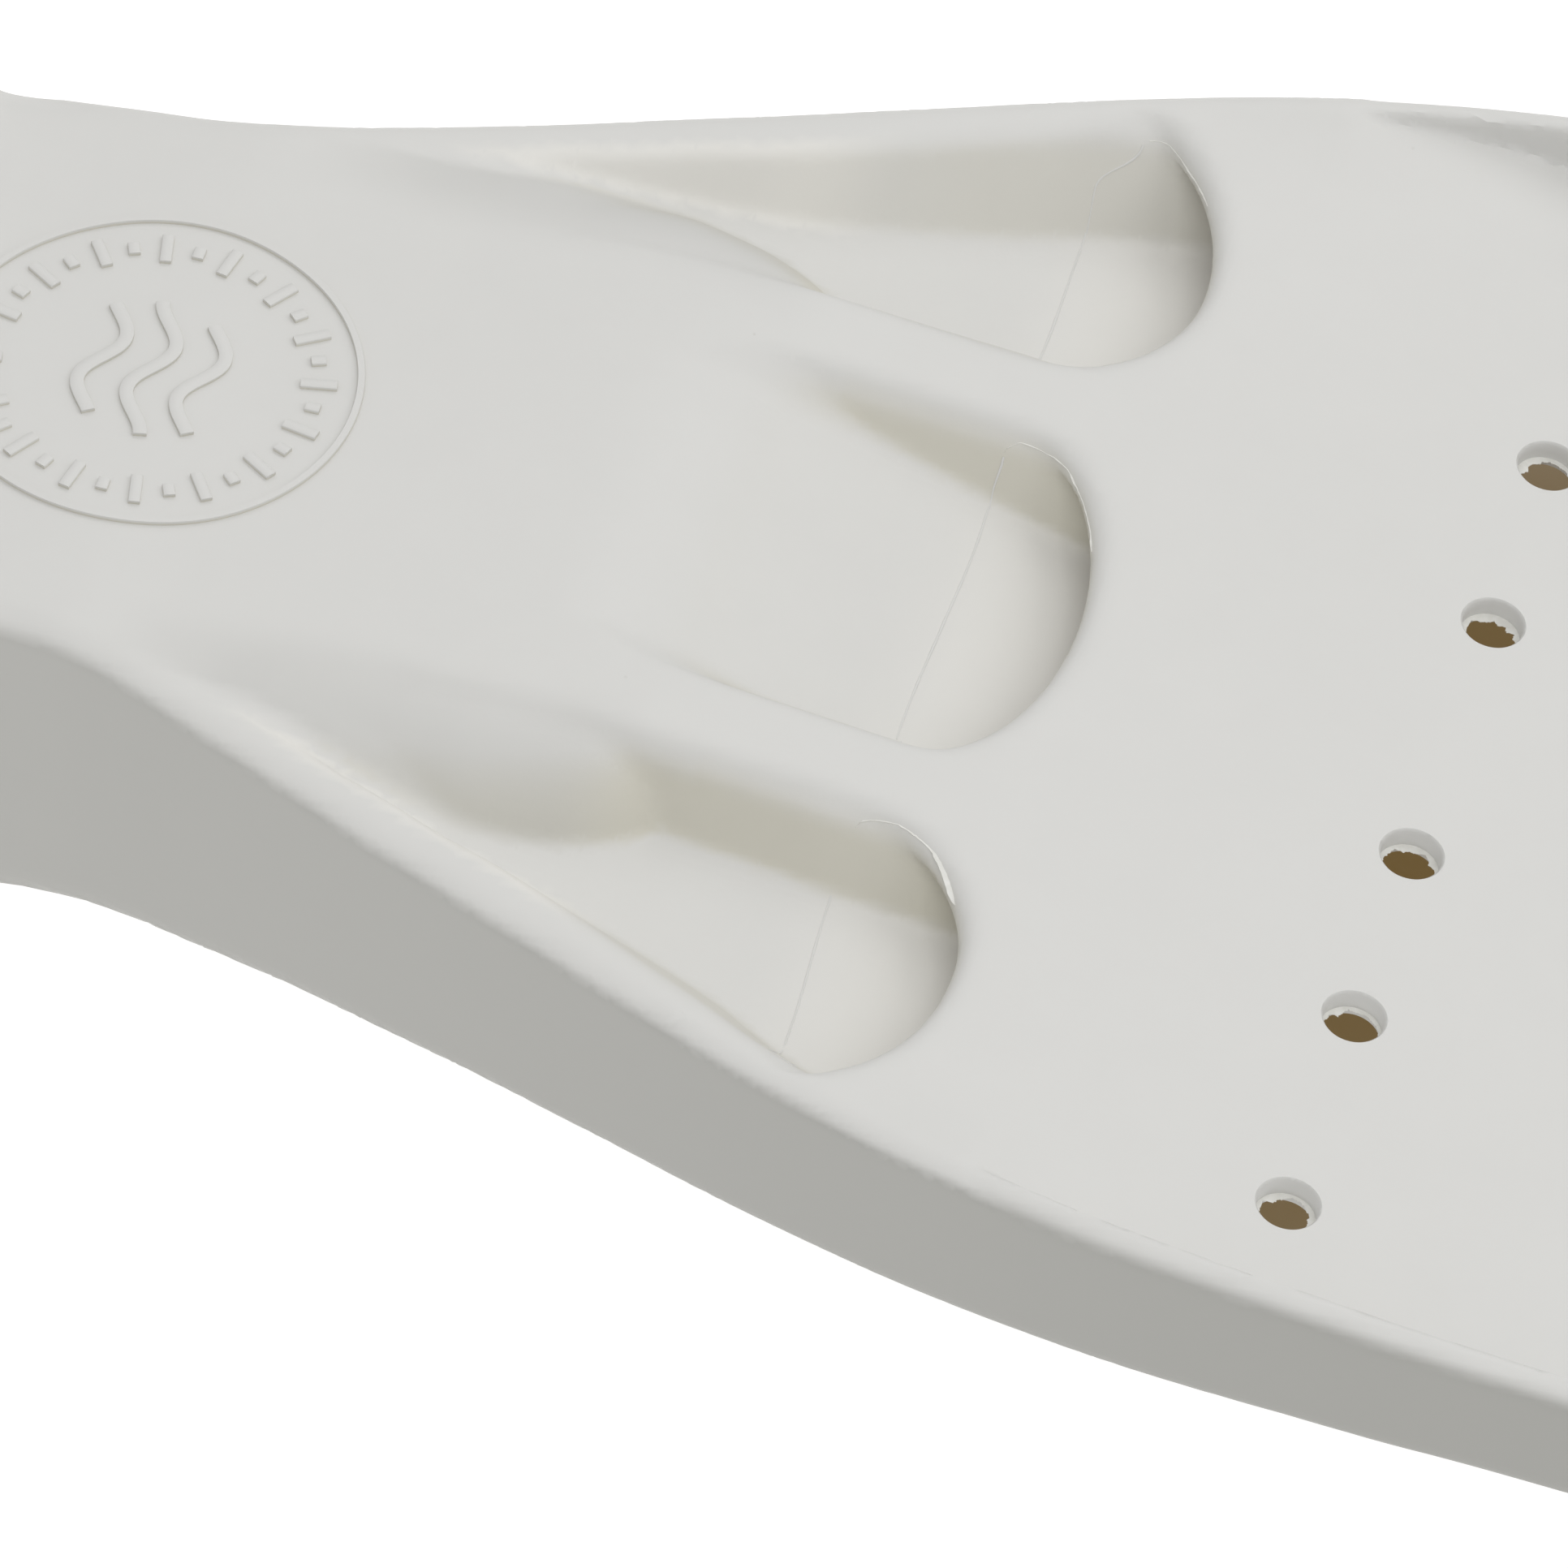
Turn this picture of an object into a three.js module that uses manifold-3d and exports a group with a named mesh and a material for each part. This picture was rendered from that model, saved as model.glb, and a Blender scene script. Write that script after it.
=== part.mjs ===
// Open-heel vented swim fin with a spring heel strap.
// Millimetres, +Z up, +X from heel to blade tip, +Y to the wearer's left.
import * as THREE from 'three';
import { mergeVertices, toCreasedNormals } from 'three/addons/utils/BufferGeometryUtils.js';
import Module from 'manifold-3d';

const wasm = await Module();
wasm.setup();
const { Manifold, Mesh } = wasm;

// ---------- driving dimensions ----------
// The fin is drawn with its origin on the blade face at the vents, then moved
// so that the row's origin is on the floor, in the middle of its length.
const ROW_X = 41.016;
const FLOOR = 56.0;
const BLADE_SLOPE = 0.1716;          // fall of the blade per mm of length
const BLADE_T = 4.5;
const TIP_X = 290;
const HOLE_X = 51.9;
const HOLE_R = 4.25;
const HOLE_Y = [22.5, 53.6, 88.8];   // mirrored
const OUTLET_X = 13;                 // where the vent floors end, under the blade
const POST_X = -212;
const POST_Z = -12;
const BOSS_R = 12;
const BOSS_Y = 60;
const STRAP_TILT = 14;               // degrees above level, about the posts
const SEG = 28;

// Stations along the length. [x, value]
const HALF_WIDTH = [[-318, 13], [-314, 24], [-306, 33], [-292, 40], [-270, 46.5], [-240, 52], [-212, 54.5], [-190, 53.6],
  [-175, 51.8], [-165, 51], [-150, 50.9], [-140, 51.1], [-130, 52.4], [-120, 55.3], [-110, 59.3], [-100, 63.4], [-90, 67.6], [-80, 72],
  [-70, 76.1], [-60, 80.2], [-50, 84.4], [-40, 88.5], [-30, 92.7], [-20, 96.6], [-10, 100.2], [0, 103.5], [10, 106.3],
  [20, 108.7], [30, 110.8], [40, 112.5], [50, 113.9], [60, 115], [72, 116.2], [94, 117.5], [120, 118.2], [170, 118.6],
  [230, 118], [262, 117], [276, 114.8], [284, 110], [288.5, 103], [TIP_X, 94]];
const EDGE_TOP = [[-318, -44], [-314, -30], [-300, 0], [-240, 27], [-200, 28], [-190, 26], [-182, 22.2], [-175, 18.2],
  [-170, 15.3], [-166, 13.5], [-160, 12.9], [-150, 12.5], [-130, 12.4], [-120, 11.5], [-110, 10.2], [-100, 9.1], [-90, 8.1],
  [-80, 7.2], [-70, 6.5], [-60, 5.8], [-50, 5.2], [-40, 4.6], [-30, 4], [-20, 3.5], [-10, 3.1], [0, 2.7], [10, 2.4], [20, 2],
  [30, 1.5], [40, 1], [50, 0.5], [60, -0.2], [80, -1.9], [100, -4], [120, -6.6], [150, -11.6], [200, -22.5], [230, -31],
  [250, -37.4], [268, -43.4], [282, -47.6], [TIP_X, -49.4]];
const CENTRE_TOP = [[-318, -44], [-314, -30], [-300, 0], [-240, 37], [-200, 33], [-190, 29.5], [-182, 25], [-175, 20],
  [-170, 16.9], [-166, 15.1], [-160, 13.9], [-150, 13.2], [-140, 12.9], [-130, 12.5], [-115, 11.4], [-100, 10.8], [-80, 10.4],
  [-68, 10], [-60, 9.5], [-50, 8.4], [-40, 6.85], [-30, 5.15], [-20, 3.5], [-10, 3.1], [0, 2.7], [10, 2.4], [20, 2],
  [30, 1.5], [40, 1], [50, 0.5], [60, -0.2], [80, -1.9], [100, -4], [120, -6.6], [150, -11.6], [200, -22.5], [230, -31],
  [250, -37.4], [268, -43.4], [282, -47.6], [TIP_X, -49.4]];
const BOTTOM = [[-318, -52.5], [-314, -55], [-308, -56], [-252, -56], [-244, -55.6], [-230, -54.3], [-210, -51.8],
  [-180, -47.4], [-150, -42.4], [-130, -39], [-110, -35.4], [-90, -31.8], [-70, -29.2], [-50, -27.4], [-30, -26], [-10, -24.8],
  [10, -23.9], [35, -23.1], [60, -22.5], [80, -22.5], [100, -23.6], [120, -26.4], [150, -31.6], [200, -40.3], [250, -49],
  [TIP_X, -56]];
const EDGE_ROUND = [[-318, 5], [-260, 9], [-200, 14], [-165, 10], [-145, 5.5], [-120, 4.2], [-60, 3.6], [TIP_X, 3]];
const POCKET_HALF_WIDTH = [[-312, 10], [-309, 18], [-302, 26.5], [-290, 33.5], [-270, 40.5], [-240, 46.3], [-205, 48.6],
  [-165, 46.8], [-140, 45.6], [-120, 45], [-108, 42], [-98, 36], [-92, 28], [-88, 17]];
const POCKET_FLOOR = [[-312, -46], [-240, -45.6], [-210, -43], [-180, -38.5], [-150, -32.5], [-120, -25.5], [-100, -21.5],
  [-92, -19], [-88, -16]];
const POCKET_CEILING = [[-312, 10], [-260, 40], [-215, 44], [-200, 27], [-190, 23], [-182, 18.5], [-175, 14.2], [-168, 10.8],
  [-160, 9], [-150, 8.2], [-120, 5.2], [-100, 2.6], [-92, -1], [-88, -7]];
const COLLAR_LINE = [[-184, 70], [-186.5, 36], [-189, 27], [-198, 17], [-212, 8.5], [-228, -4], [-245, -17], [-265, -28],
  [-290, -35], [-330, -37], [-330, 70]];
const MIDDLE_FLOOR = [[-63, 9.3], [-58, 8], [-53, 6.1], [-47, 3.4], [-35, -1.2], [-19.4, -6.8], [-5, -11.4], [5, -14.3],
  [OUTLET_X + 1, -16.4]];
// Side vents. [x, wall foot inner y, wall foot outer y, z inner, z outer, top inner y, top outer y]
const SIDE_VENT = [[-110, 51.5, 52.7, 9.5, 9.1, 46, 55], [-100, 52.5, 54.7, 8, 7.4, 43.5, 58.4], [-88, 55.5, 58.8, 5.3, 4.3, 41, 63],
  [-78, 57.6, 61.4, 2.6, 1.4, 39.6, 67], [-70, 59.2, 63.6, 0, -1.2, 38.8, 70.4], [-62, 58.3, 65.2, -2, -2.9, 38.4, 73.7],
  [-54, 55.5, 67, -3.3, -4.3, 39.4, 77.1], [-47, 50.8, 69, -4.3, -5.5, 42.5, 80.1], [-42, 50.2, 70.6, -4.9, -6.3, 44.2, 82.2],
  [-30, 51, 75, -6.6, -8.3, 44.2, 87], [-20, 52, 80, -8.1, -10.2, 44, 91], [-10, 52, 83.5, -9.8, -12, 44, 94],
  [0, 52, 86, -11.6, -13.8, 44, 97], [OUTLET_X + 1, 52, 88, -14.2, -16.4, 44, 99]];

// Sweep between the blade face and the inside of each rail. [x, radius]
const RAIL_SWEEP = [[-20, 24], [0, 24], [10, 19], [20, 10.5], [27, 5], [33, 2], [45, 1], [TIP_X, 1]];

// ---------- small helpers ----------
function slopes(t) {
  const n = t.length, h = [], d = [], m = [];
  for (let i = 0; i < n - 1; i++) { h.push(t[i + 1][0] - t[i][0]); d.push((t[i + 1][1] - t[i][1]) / h[i]); }
  for (let i = 0; i < n; i++) {
    if (i === 0) m.push(d[0]);
    else if (i === n - 1) m.push(d[n - 2]);
    else m.push(d[i - 1] * d[i] <= 0 ? 0 : (h[i - 1] + h[i]) / (h[i] / d[i - 1] + h[i - 1] / d[i]));
  }
  return m;
}
function curve(t) {
  const m = slopes(t);
  return (x) => {
    if (x <= t[0][0]) return t[0][1];
    if (x >= t[t.length - 1][0]) return t[t.length - 1][1];
    let i = 0;
    while (x > t[i + 1][0]) i++;
    const h = t[i + 1][0] - t[i][0], s = (x - t[i][0]) / h;
    return t[i][1] * (1 + 2 * s) * (1 - s) ** 2 + h * m[i] * s * (1 - s) ** 2
      + t[i + 1][1] * s * s * (3 - 2 * s) + h * m[i + 1] * s * s * (s - 1);
  };
}
const halfWidth = curve(HALF_WIDTH), edgeTop = curve(EDGE_TOP), centreTop = curve(CENTRE_TOP);
const bottom = curve(BOTTOM), edgeRound = curve(EDGE_ROUND);
const pocketHalf = curve(POCKET_HALF_WIDTH), pocketFloor = curve(POCKET_FLOOR), pocketCeiling = curve(POCKET_CEILING);
const middleFloor = curve(MIDDLE_FLOOR), railSweep = curve(RAIL_SWEEP);
const bladeTop = (x) => -BLADE_SLOPE * x;
const smooth = (t) => { const c = Math.min(1, Math.max(0, t)); return c * c * (3 - 2 * c); };

function solid(geometry) {
  const g = new THREE.BufferGeometry();
  g.setAttribute('position', geometry.attributes.position.clone());
  if (geometry.index) g.setIndex(geometry.index.clone());
  const m = mergeVertices(g, 1e-4);
  const mesh = new Mesh({ numProp: 3, vertProperties: new Float32Array(m.attributes.position.array), triVerts: new Uint32Array(m.index.array) });
  mesh.merge();
  const made = new Manifold(mesh);
  return made;
}
function geometryOf(shape) {
  const mesh = shape.getMesh();
  const g = new THREE.BufferGeometry();
  g.setAttribute('position', new THREE.BufferAttribute(new Float32Array(mesh.vertProperties), 3));
  g.setIndex(new THREE.BufferAttribute(new Uint32Array(mesh.triVerts), 1));
  return g;
}
// Closed skin through sections of equal length, each end closed by a fan.
function skin(sections) {
  const n = sections[0].length, m = sections.length, pos = [], index = [];
  for (const s of sections) for (const p of s) pos.push(p.x, p.y, p.z);
  for (let i = 0; i < m - 1; i++) for (let j = 0; j < n; j++) {
    const a = i * n + j, b = i * n + (j + 1) % n;
    index.push(a, b, a + n, b, b + n, a + n);
  }
  for (const [row, flip] of [[0, true], [m - 1, false]]) {
    const c = sections[row].reduce((s, p) => s.add(p), new THREE.Vector3()).divideScalar(n);
    const k = pos.length / 3;
    pos.push(c.x, c.y, c.z);
    for (let j = 0; j < n; j++) {
      const a = row * n + j, b = row * n + (j + 1) % n;
      index.push(...(flip ? [k, b, a] : [k, a, b]));
    }
  }
  const g = new THREE.BufferGeometry();
  g.setAttribute('position', new THREE.Float32BufferAttribute(pos, 3));
  g.setIndex(index);
  return solid(g);
}
// Sections are lists of [y, z] at one x, anticlockwise seen from +X.
function loftX(stations) {
  return skin(stations.map(([x, ring]) => ring.map(([y, z]) => new THREE.Vector3(x, y, z))));
}
// A plan outline [x, y], anticlockwise, raised from z0 to z1.
function prism(outline, z0, z1) {
  const shape = new THREE.Shape(outline.map(([x, y]) => new THREE.Vector2(x, y)));
  const g = new THREE.ExtrudeGeometry(shape, { depth: z1 - z0, bevelEnabled: false });
  return solid(g.translate(0, 0, z0));
}
// A side outline [x, z] spread from y0 to y1.
function sideways(outline, y0, y1) {
  const shape = new THREE.Shape(outline.map(([x, z]) => new THREE.Vector2(x, z)));
  const g = new THREE.ExtrudeGeometry(shape, { depth: y1 - y0, bevelEnabled: false });
  return solid(g.rotateX(Math.PI / 2).translate(0, y1, 0));
}
function barY(r, y0, y1, x = 0, z = 0, seg = SEG) {
  return solid(new THREE.CylinderGeometry(r, r, y1 - y0, seg).translate(x, (y0 + y1) / 2, z));
}
function turnedY(profile, seg = SEG) {   // profile: [radius, y] from one end to the other
  return solid(new THREE.LatheGeometry(profile.map(([r, y]) => new THREE.Vector2(r, y)), seg));
}
const arc = (cx, cz, r, a0, a1, n) => Array.from({ length: n + 1 }, (_, i) => {
  const a = (a0 + (a1 - a0) * i / n) * Math.PI / 180;
  return [cx + r * Math.cos(a), cz + r * Math.sin(a)];
});
const range = (a, b, n) => Array.from({ length: n + 1 }, (_, i) => a + (b - a) * i / n);

// ---------- fin body ----------
function hullRing(x) {
  const w = halfWidth(x), t = edgeTop(x), c = centreTop(x), b = bottom(x);
  const r = Math.min(edgeRound(x), w * 0.45, (t - b) * 0.4), rb = Math.min(2.5, (t - b) * 0.3);
  const flat = w - r, inner = THREE.MathUtils.lerp(6, 46, smooth((x + 160) / 50));
  const top = (y) => t + (c - t) * smooth((flat - Math.abs(y)) / Math.max(4, flat - inner));
  const crown = [-1, -0.9, -0.78, -0.64, -0.48, -0.25, 0, 0.25, 0.48, 0.64, 0.78, 0.9, 1].reverse()
    .map((k) => [k * flat, top(k * flat)]);
  return [
    ...arc(-(w - rb), b + rb, rb, 180, 270, 2), ...arc(w - rb, b + rb, rb, 270, 360, 2),
    ...arc(flat, t - r, r, 0, 60, 2), ...crown, ...arc(-flat, t - r, r, 120, 180, 2)];
}
function hull() {
  const xs = [-318, -314, -308, -300, -290, -276, -260, ...range(-246, -150, 8), ...range(-140, 60, 15), 75, 84, 100, 120, 150, 180,
    210, 240, 262, 271, 277, 281, 284.5, 287, 288.8, TIP_X];
  return loftX(xs.map((x) => [x, hullRing(x)]));
}
function pocketRing(x) {
  const w = pocketHalf(x), f = pocketFloor(x), k = pocketCeiling(x), r = Math.min(15, w * 0.6, (k - f) * 0.46), rf = Math.min(9, w * 0.5, (k - f) * 0.4);
  return [...arc(-(w - rf), f + rf, rf, 180, 270, 4), ...arc(w - rf, f + rf, rf, 270, 360, 4),
    ...arc(w - r, k - r, r, 0, 90, 4), ...arc(-(w - r), k - r, r, 90, 180, 4)];
}
function footPocket() {
  const xs = [-312, -310, -306, -300, -290, -278, -262, -245, -225, -212, -200, -190, -175, -160, -145, -130, -115, -105, -98, -93, -90, -88];
  return loftX(xs.map((x) => [x, pocketRing(x)]));
}
function bladeRecess() {                 // above the blade, between the rails
  const xs = [-17, -8, 0, 6, 12, 18, 24, 30, 36, 45, 60, 72, 94, 120, 150, 180, 210, 235, 250, 262, 274, 284, TIP_X + 6];
  return loftX(xs.map((x) => {
    const w = halfWidth(Math.min(x, 262)) - 4.1, z = bladeTop(x), h = Math.max(edgeTop(x) - z, 0.05), r = railSweep(x);
    const rise = Math.min(h, r), turn = Math.acos(1 - rise / r), foot = w - r * Math.sin(turn), top = z + h + 12;
    const sweep = [0, 0.5, 1].map((k) => [foot + r * Math.sin(turn * k), z + r * (1 - Math.cos(turn * k))]);
    const side = [...sweep, [w + 0.02, z + h + 0.02], [w + 0.6, top]];
    return [x, [...side, ...side.map(([y, v]) => [-y, v]).reverse()]];
  }));
}
function underside() {                   // shallow under the toe, deep under the blade
  const toe = curve([[-100, -31.5], [-90, -28.2], [-60, -24], [-20, -21.2], [OUTLET_X, -19.6]]);
  const box = (x, w, z) => [x, [[-w, -75], [w, -75], [w, z - 3], [w - 3, z], [-(w - 3), z], [-w, z - 3]]];
  const a = loftX([-96, -88, -78, -60, -40, -20, 0, OUTLET_X + 0.5].map((x) => box(x, halfWidth(x) - 7, toe(x))));
  const b = loftX([OUTLET_X, 25, 40, 60, 94, 150, 210, 262, TIP_X + 6].map((x) => box(x, halfWidth(Math.min(x, 262)) - 6.2, bladeTop(x) - BLADE_T)));
  return a.add(b);
}
function bayOutline(tip, depth, yIn, yOut, yMid, back) {
  const pts = range(0, 20, 20).map((i) => {
    const a = -Math.PI / 2 + Math.PI * i / 20, s = Math.sin(a), half = s < 0 ? yMid - yIn : yOut - yMid;
    return [tip - depth * (1 - Math.cos(a)), yMid + half * s];
  });
  return [[back, yIn], ...pts, [back, yOut]];
}
function middleVent() {
  const ring = (x, lid) => {
    const z = middleFloor(x), depth = Math.max(0.4, bladeTop(Math.min(x, 0)) - z), hb = 30.5 - 0.62 * depth;
    const top = lid ?? 40, ht = Math.min(30.5, hb + 0.66 * (top - z));
    return [x, [[-(hb - 4), z], [hb - 4, z], [hb - 1, z + 0.9], [hb + 1.4, z + 3.4], [Math.max(ht, hb + 1.6), Math.max(z + 4.2, Math.min(top - 0.3, z + 0.66 * depth + 4))], [Math.max(ht, hb + 1.6), top],
      [-Math.max(ht, hb + 1.6), top], [-Math.max(ht, hb + 1.6), Math.max(z + 4.2, Math.min(top - 0.3, z + 0.66 * depth + 4))], [-(hb + 1.4), z + 3.4], [-(hb - 1), z + 0.9]]];
  };
  const open = loftX([-63, -58, -52, -46, -40, -34, -27, -20, -12, -5, 0.5].map((x) => ring(x)));
  const bay = prism(bayOutline(-0.8, 16.5, -30.2, 30.2, 0, -80), -30, 60);
  const under = loftX([-20, -12, -5, 0, 5, OUTLET_X + 1].map((x) => ring(x, bladeTop(x) - BLADE_T)));
  return open.intersect(bay).add(under);
}
function sideVent() {
  const at = (x, k) => curve(SIDE_VENT.map((s) => [s[0], s[k]]))(x);
  const ring = (x, lid) => {
    const yi = at(x, 1), yo = at(x, 2), zi = at(x, 3), zo = at(x, 4), ti = at(x, 5), to = at(x, 6);
    const z = lid ?? 40, level = Math.max(Math.min(bladeTop(x), 11), zi + 1.2), a = Math.min(1, (z - zi) / (level - zi));
    const inY = yi + (ti - yi) * a, outY = yo + (to - yo) * Math.min(1, (z - zo) / (level - zo));
    const flank = THREE.MathUtils.lerp(0.34, 0.6, smooth((x + 60) / 16));
    const zk = Math.min(level, z - 0.3), soft = Math.min(3, (yo - yi) * 0.3);
    return [x, [[yi + soft, zi], [yo - soft, zo], [yo + (outY - yo) * 0.2, zo + (zk - zo) * 0.14], [outY, zk], [outY, z], [inY, z], [inY, zk], [yi - (yi - inY) * flank, zi + (zk - zi) * 0.62], [yi - (yi - inY) * 0.14, zi + (zk - zi) * 0.14]]];
  };
  const open = loftX([-110, -100, -94, -88, -83, -78, -74, -70, -66, -62, -58, -54, -50, -47, -42, -36, -30, -25, -20, -15, -10, -5, 0.5].map((x) => ring(x)));
  const bay = prism(bayOutline(-0.4, 22, 44, 94.5, 66.5, -120), -30, 60);
  const under = loftX([-19, -10, 0, OUTLET_X + 1].map((x) => ring(x, bladeTop(x) - BLADE_T)));
  return open.intersect(bay).add(under);
}
function mirrorY(shape) { return shape.mirror([0, 1, 0]); }
function bladeHoles() {
  const tilt = Math.atan(BLADE_SLOPE);
  return [...HOLE_Y, ...HOLE_Y.map((y) => -y)].map((y) =>
    solid(new THREE.CylinderGeometry(HOLE_R, HOLE_R, 24, 32).rotateX(Math.PI / 2).rotateY(tilt).translate(HOLE_X, y, bladeTop(HOLE_X) - BLADE_T / 2)));
}
function groove(x, half) {
  const z = bottom(x + 1.8);
  return sideways([[x, z - 4], [x + 3.6, z - 4], [x + 3, z + 1.6], [x + 0.6, z + 1.6]], -half, half);
}
function tread() {                       // a flat heel pad is left plain
  return [...range(-304, -276, 4).map((x) => groove(x, 24)), ...range(-244, -190, 6).map((x) => groove(x, 34))];
}
function finBody() {
  let body = hull();
  const boss = turnedY([[0, 40], [18, 40], [16.5, 53], [13, 57], [BOSS_R, BOSS_Y - 0.8], [BOSS_R - 0.8, BOSS_Y], [0, BOSS_Y]]).translate([POST_X, 0, POST_Z]);
  body = body.add(boss).add(mirrorY(boss));
  const vent = sideVent();
  const cuts = [bladeRecess(), underside(), footPocket(), sideways(COLLAR_LINE, -90, 90), middleVent(), vent, mirrorY(vent), ...bladeHoles(), ...tread()];
  for (const c of cuts) body = body.subtract(c);
  const socket = barY(4.4, BOSS_Y - 4, BOSS_Y + 2, POST_X, POST_Z);
  return body.subtract(socket).subtract(mirrorY(socket)).simplify(0.05);
}

// ---------- strap hardware, drawn level about the post axis at the origin ----------
function post() {
  return turnedY([[0, 56.4], [4.1, 56.4], [4.1, 60.3], [9.6, 60.3], [10, 60.7], [10, 61.8], [9.6, 62.2], [5, 62.2], [5, 73.4], [2.3, 73.4], [2.3, 64.5], [0, 64.5]]);
}
function washer() { return turnedY([[2.7, 73.8], [9.8, 73.8], [10.2, 74.2], [10.2, 74.7], [9.8, 75.1], [2.7, 75.1], [2.7, 73.8]]); }
function screw() {
  const head = turnedY([[0, 65.2], [2, 65.2], [2, 75.4], [5, 75.4], [5, 76.4], [4.3, 77.6], [2.6, 78.3], [0, 78.4]]);
  return head.subtract(solid(new THREE.CylinderGeometry(1.7, 1.7, 4, 6).translate(0, 78.6, 0)));
}
function bushing() { return turnedY([[5.08, 62.6], [7.9, 62.6], [7.9, 63.9], [7, 63.9], [7, 73.1], [5.08, 73.1], [5.08, 62.6]]); }
function roundedBar(stations) {          // [x, y centre, half thickness, half height]
  return loftX(stations.map(([x, y, a, b]) => {
    const r = Math.min(a, b) * 0.55;
    return [x, [...arc(y - a + r, -b + r, r, 180, 270, 3), ...arc(y + a - r, -b + r, r, 270, 360, 3), ...arc(y + a - r, b - r, r, 0, 90, 3), ...arc(y - a + r, b - r, r, 90, 180, 3)]];
  }));
}
const LOOP_X = -155.2;
const LOOP_HANG = 94;                // the loop hangs against the pad
const SPRING = { x0: -43.5, y0: 60.6, x1: -99, y1: 50.2, r: 6, hole: 3.9 };
function along(shape, x, y) {            // a shape drawn on +X at the origin, laid on the spring's line
  return shape.rotate([0, 0, Math.atan2(SPRING.y1 - SPRING.y0, SPRING.x1 - SPRING.x0) * 180 / Math.PI]).translate([x, y, 0]);
}
function boot() {
  const eye = turnedY([[7.3, 64.2], [13, 64.2], [14, 65.2], [14, 71.8], [13, 72.8], [7.3, 72.8], [7.3, 64.2]]);
  const arm = roundedBar([[-40, 61.3, 8.4, 9.4], [-37, 61.8, 8.8, 9.8], [-30, 63.2, 7, 9.4], [-22, 65.4, 5, 9.6], [-12, 68.2, 4.3, 11], [-6, 68.5, 4.2, 11.6]]);
  const clear = barY(7.3, 55, 80);
  const socket = along(solid(new THREE.CylinderGeometry(5.3, 5.3, 30, 32).rotateZ(Math.PI / 2)), -42.5, 60.8);
  const pinHole = solid(new THREE.CylinderGeometry(1.9, 1.9, 40, 24).rotateX(Math.PI / 2).translate(-33.5, 62.5, 0));
  return eye.add(arm).subtract(clear).subtract(socket).subtract(pinHole);
}
function anchor() {
  const shank = along(solid(new THREE.CylinderGeometry(4.9, 4.9, 10, 32).rotateZ(Math.PI / 2)), -33.6, 62.45);
  const stub = along(solid(new THREE.CylinderGeometry(3.4, 3.4, 14, 32).rotateZ(Math.PI / 2)), -44, 60.5);
  const pinHole = solid(new THREE.CylinderGeometry(1.9, 1.9, 40, 24).rotateX(Math.PI / 2).translate(-33.5, 62.5, 0));
  return shank.add(stub).subtract(pinHole);
}
function anchorPin() {
  return solid(new THREE.CylinderGeometry(1.55, 1.55, 17.4, 24).rotateX(Math.PI / 2).translate(-33.5, 62.5, 0));
}
function spring() {
  const len = Math.hypot(SPRING.x1 - SPRING.x0, SPRING.y1 - SPRING.y0), mx = (SPRING.x0 + SPRING.x1) / 2, my = (SPRING.y0 + SPRING.y1) / 2;
  const tube = (r, l) => solid(new THREE.CylinderGeometry(r, r, l, 32).rotateZ(Math.PI / 2));
  return along(tube(SPRING.r, len).subtract(tube(SPRING.hole, len + 4)), mx, my);
}
function endPlug() {
  const stub = along(solid(new THREE.CylinderGeometry(3.4, 3.4, 10, 32).rotateZ(Math.PI / 2)), -97, 50.6);
  const shank = along(solid(new THREE.CylinderGeometry(4.6, 4.6, 8, 32).rotateZ(Math.PI / 2)), -105.6, 49);
  return stub.add(shank);
}
const PAD_PATH = new THREE.CatmullRomCurve3([[-101, 49.8], [-114, 46.6], [-127, 40.2], [-138, 29.5], [-144.5, 15.5], [-146.6, 0],
  [-144.5, -15.5], [-138, -29.5], [-127, -40.2], [-114, -46.6], [-101, -49.8]].map(([x, y]) => new THREE.Vector3(x, y, 0)));
function heelPad() {
  const n = 24, half = curve([[0, 7.6], [0.08, 7.8], [0.2, 11.5], [0.38, 17], [0.5, 18.5], [0.62, 17], [0.8, 11.5], [0.92, 7.8], [1, 7.6]]);
  const thick = curve([[0, 7.4], [0.09, 7.2], [0.17, 4.4], [0.3, 3.1], [0.5, 3], [0.7, 3.1], [0.83, 4.4], [0.91, 7.2], [1, 7.4]]);
  const sections = range(0, 1, n).map((t) => {
    const p = PAD_PATH.getPointAt(t), d = PAD_PATH.getTangentAt(t), out = new THREE.Vector3(d.y, -d.x, 0);
    const a = thick(t), b = half(t), r = Math.min(a, b) * 0.6;
    const ring = [...arc(-a + r, -b + r, r, 180, 270, 3), ...arc(a - r, -b + r, r, 270, 360, 3), ...arc(a - r, b - r, r, 0, 90, 3), ...arc(-a + r, b - r, r, 90, 180, 3)];
    return ring.map(([u, v]) => p.clone().addScaledVector(out, -u).add(new THREE.Vector3(0, 0, v)));
  });
  let pad = skin(sections);
  const lug = sideways([[-143, -7.5], [-156, -5.5], [-159.6, -3], [-159.6, 3], [-156, 5.5], [-143, 7.5]], 12, 17);
  pad = pad.add(lug).add(mirrorY(lug));
  const socket = along(solid(new THREE.CylinderGeometry(4.9, 4.9, 19, 32).rotateZ(Math.PI / 2)), -100.6, 49.9);
  return pad.subtract(socket).subtract(mirrorY(socket)).subtract(barY(2.3, -30, 30, LOOP_X, 0, 24));
}
function loopPin() { return barY(2.0, -18.6, 18.6, LOOP_X, 0, 24); }
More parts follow.
